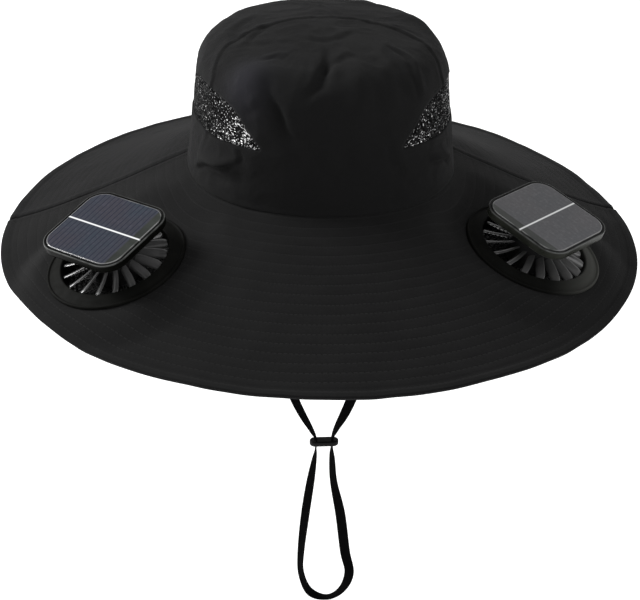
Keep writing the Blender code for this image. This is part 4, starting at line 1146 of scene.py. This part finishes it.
def makePanel(side, word, matrix):
    # The tray's section: a rounded underside, an upright wall, a thin rim, and a step down to the cell.
    matrix = matrix @ panelTilt(side) @ Matrix.Rotation(-side * panel["turn"], 4, "Z")
    top, bottom = panel["height"], panel["height"] - panel["thickness"]
    floor = top + panel["proud"] - panel["cell"] - 0.0003
    turns = [0, 0.31, 0.63, 0.94, 1.26, 1.57]
    loops = [squareLoop(0.0100, bottom)] + [squareLoop(0.0016 * (1 - math.sin(a)), bottom + 0.0016 * (1 - math.cos(a))) for a in turns]
    loops += [squareLoop(*row) for row in ((0, top - 0.0011), (0, top - 0.0006), (0.0001, top - 0.0002), (0.0005, top), (0.0008, top), (0.0016, top), (panel["rim"], top - 0.0003), (panel["rim"], floor))]
    # edge places the painted highlight round the tray's top, wall the painted light on its side wall.
    edge, wall = [0] * 8 + [0.5, 1, 0.7, 0, 0, 0, 0], [1] * 8 + [0.8] + [0] * 6
    loftPiece(f"panel_tray_{word}", loops, edge, wall, matrix, trayResins[word], [f"solar_frame_{word}"])
    lip, rise = panel["rim"] + 0.0003, panel["height"] + panel["proud"]
    rows = ((lip, floor + 0.0003), (lip, rise - 0.0005), (lip + 0.0001, rise - 0.0002), (lip + 0.0005, rise), (lip + 0.0008, rise), (lip + 0.0012, rise))
    # edge places the painted highlight along the cell's rim.
    loftPiece(f"panel_cell_{word}", [squareLoop(*row) for row in rows], [0, 0.4, 1, 1, 0, 0], [0] * 6, matrix, cellFaces[word], [f"solar_cell_{word}"], -side)


for side, word in ((-1, "left"), (1, "right")):
    matrix = fanFrame(side)
    makeRing(word, matrix)
    makeGuard(word, matrix)
    makeMotor(side, word, matrix)
    makeImpeller(word, matrix, f"{word}_impeller")
    makePanel(side, word, matrix)
print("fans made")

# ---- floor and light

studio = {
    "floor": (0.80, 0.80, 0.80),
    "glow": 0.50,  # of the floor, a lit white sweep
    "world": 0.55,
    "key": (96.0, (-2.2, 0.9, 1.5), 1.2),  # strength, place, size
    "fill": (17.0, (1.6, -1.6, 1.6), 1.8),
}


def makeFloor():
    # A wide disc under the strap's loop, as a grid of rings.
    radius = np.linspace(0, 9, 24)[:, None]
    angle = np.linspace(0, 2 * np.pi, 97)
    points = np.stack([radius * np.cos(angle), radius * np.sin(angle), 0 * radius * angle + strap["floor"]], -1)
    mesh = bpy.data.meshes.new("floor")
    mesh.from_pydata(points.reshape(-1, 3).tolist(), [], gridQuads(24, 97).tolist())
    work = bmesh.new()
    work.from_mesh(mesh)
    bmesh.ops.remove_doubles(work, verts=work.verts, dist=1e-6)
    bmesh.ops.dissolve_degenerate(work, edges=work.edges, dist=1e-6)
    work.to_mesh(mesh)
    work.free()
    floor = bpy.data.objects.new("floor", mesh)
    bpy.context.scene.collection.objects.link(floor)
    material, shader, start = newMaterial("floor_sheet", Roughness=0.9, Emission_Color=(1, 1, 1), Emission_Strength=studio["glow"])
    start.feed(shader.inputs["Base Color"], start.place().noise(3, 2).fade(0.2, 0.8).blend(studio["floor"], times(studio["floor"], 1.03)))
    mesh.materials.append(material)


def makeLight(name, strength, at, size):
    light = bpy.data.lights.new(name, "AREA")
    light.energy = strength
    light.size = size
    lamp = bpy.data.objects.new(name, light)
    lamp.location = at
    lamp.rotation_euler = (Vector((0, 0, -0.02)) - Vector(at)).to_track_quat("-Z", "Y").to_euler()
    bpy.context.scene.collection.objects.link(lamp)


strap["floor"] = float(strapPath[:, 2].min()) - 0.0045
makeFloor()
for name in ("key", "fill"):
    makeLight(name, *studio[name])
world = bpy.data.worlds.new("studio")
bpy.context.scene.world = world
world.use_nodes = True
world.node_tree.nodes["Background"].inputs["Color"].default_value = (1, 1, 1, 1)
world.node_tree.nodes["Background"].inputs["Strength"].default_value = studio["world"]
print("studio lit")
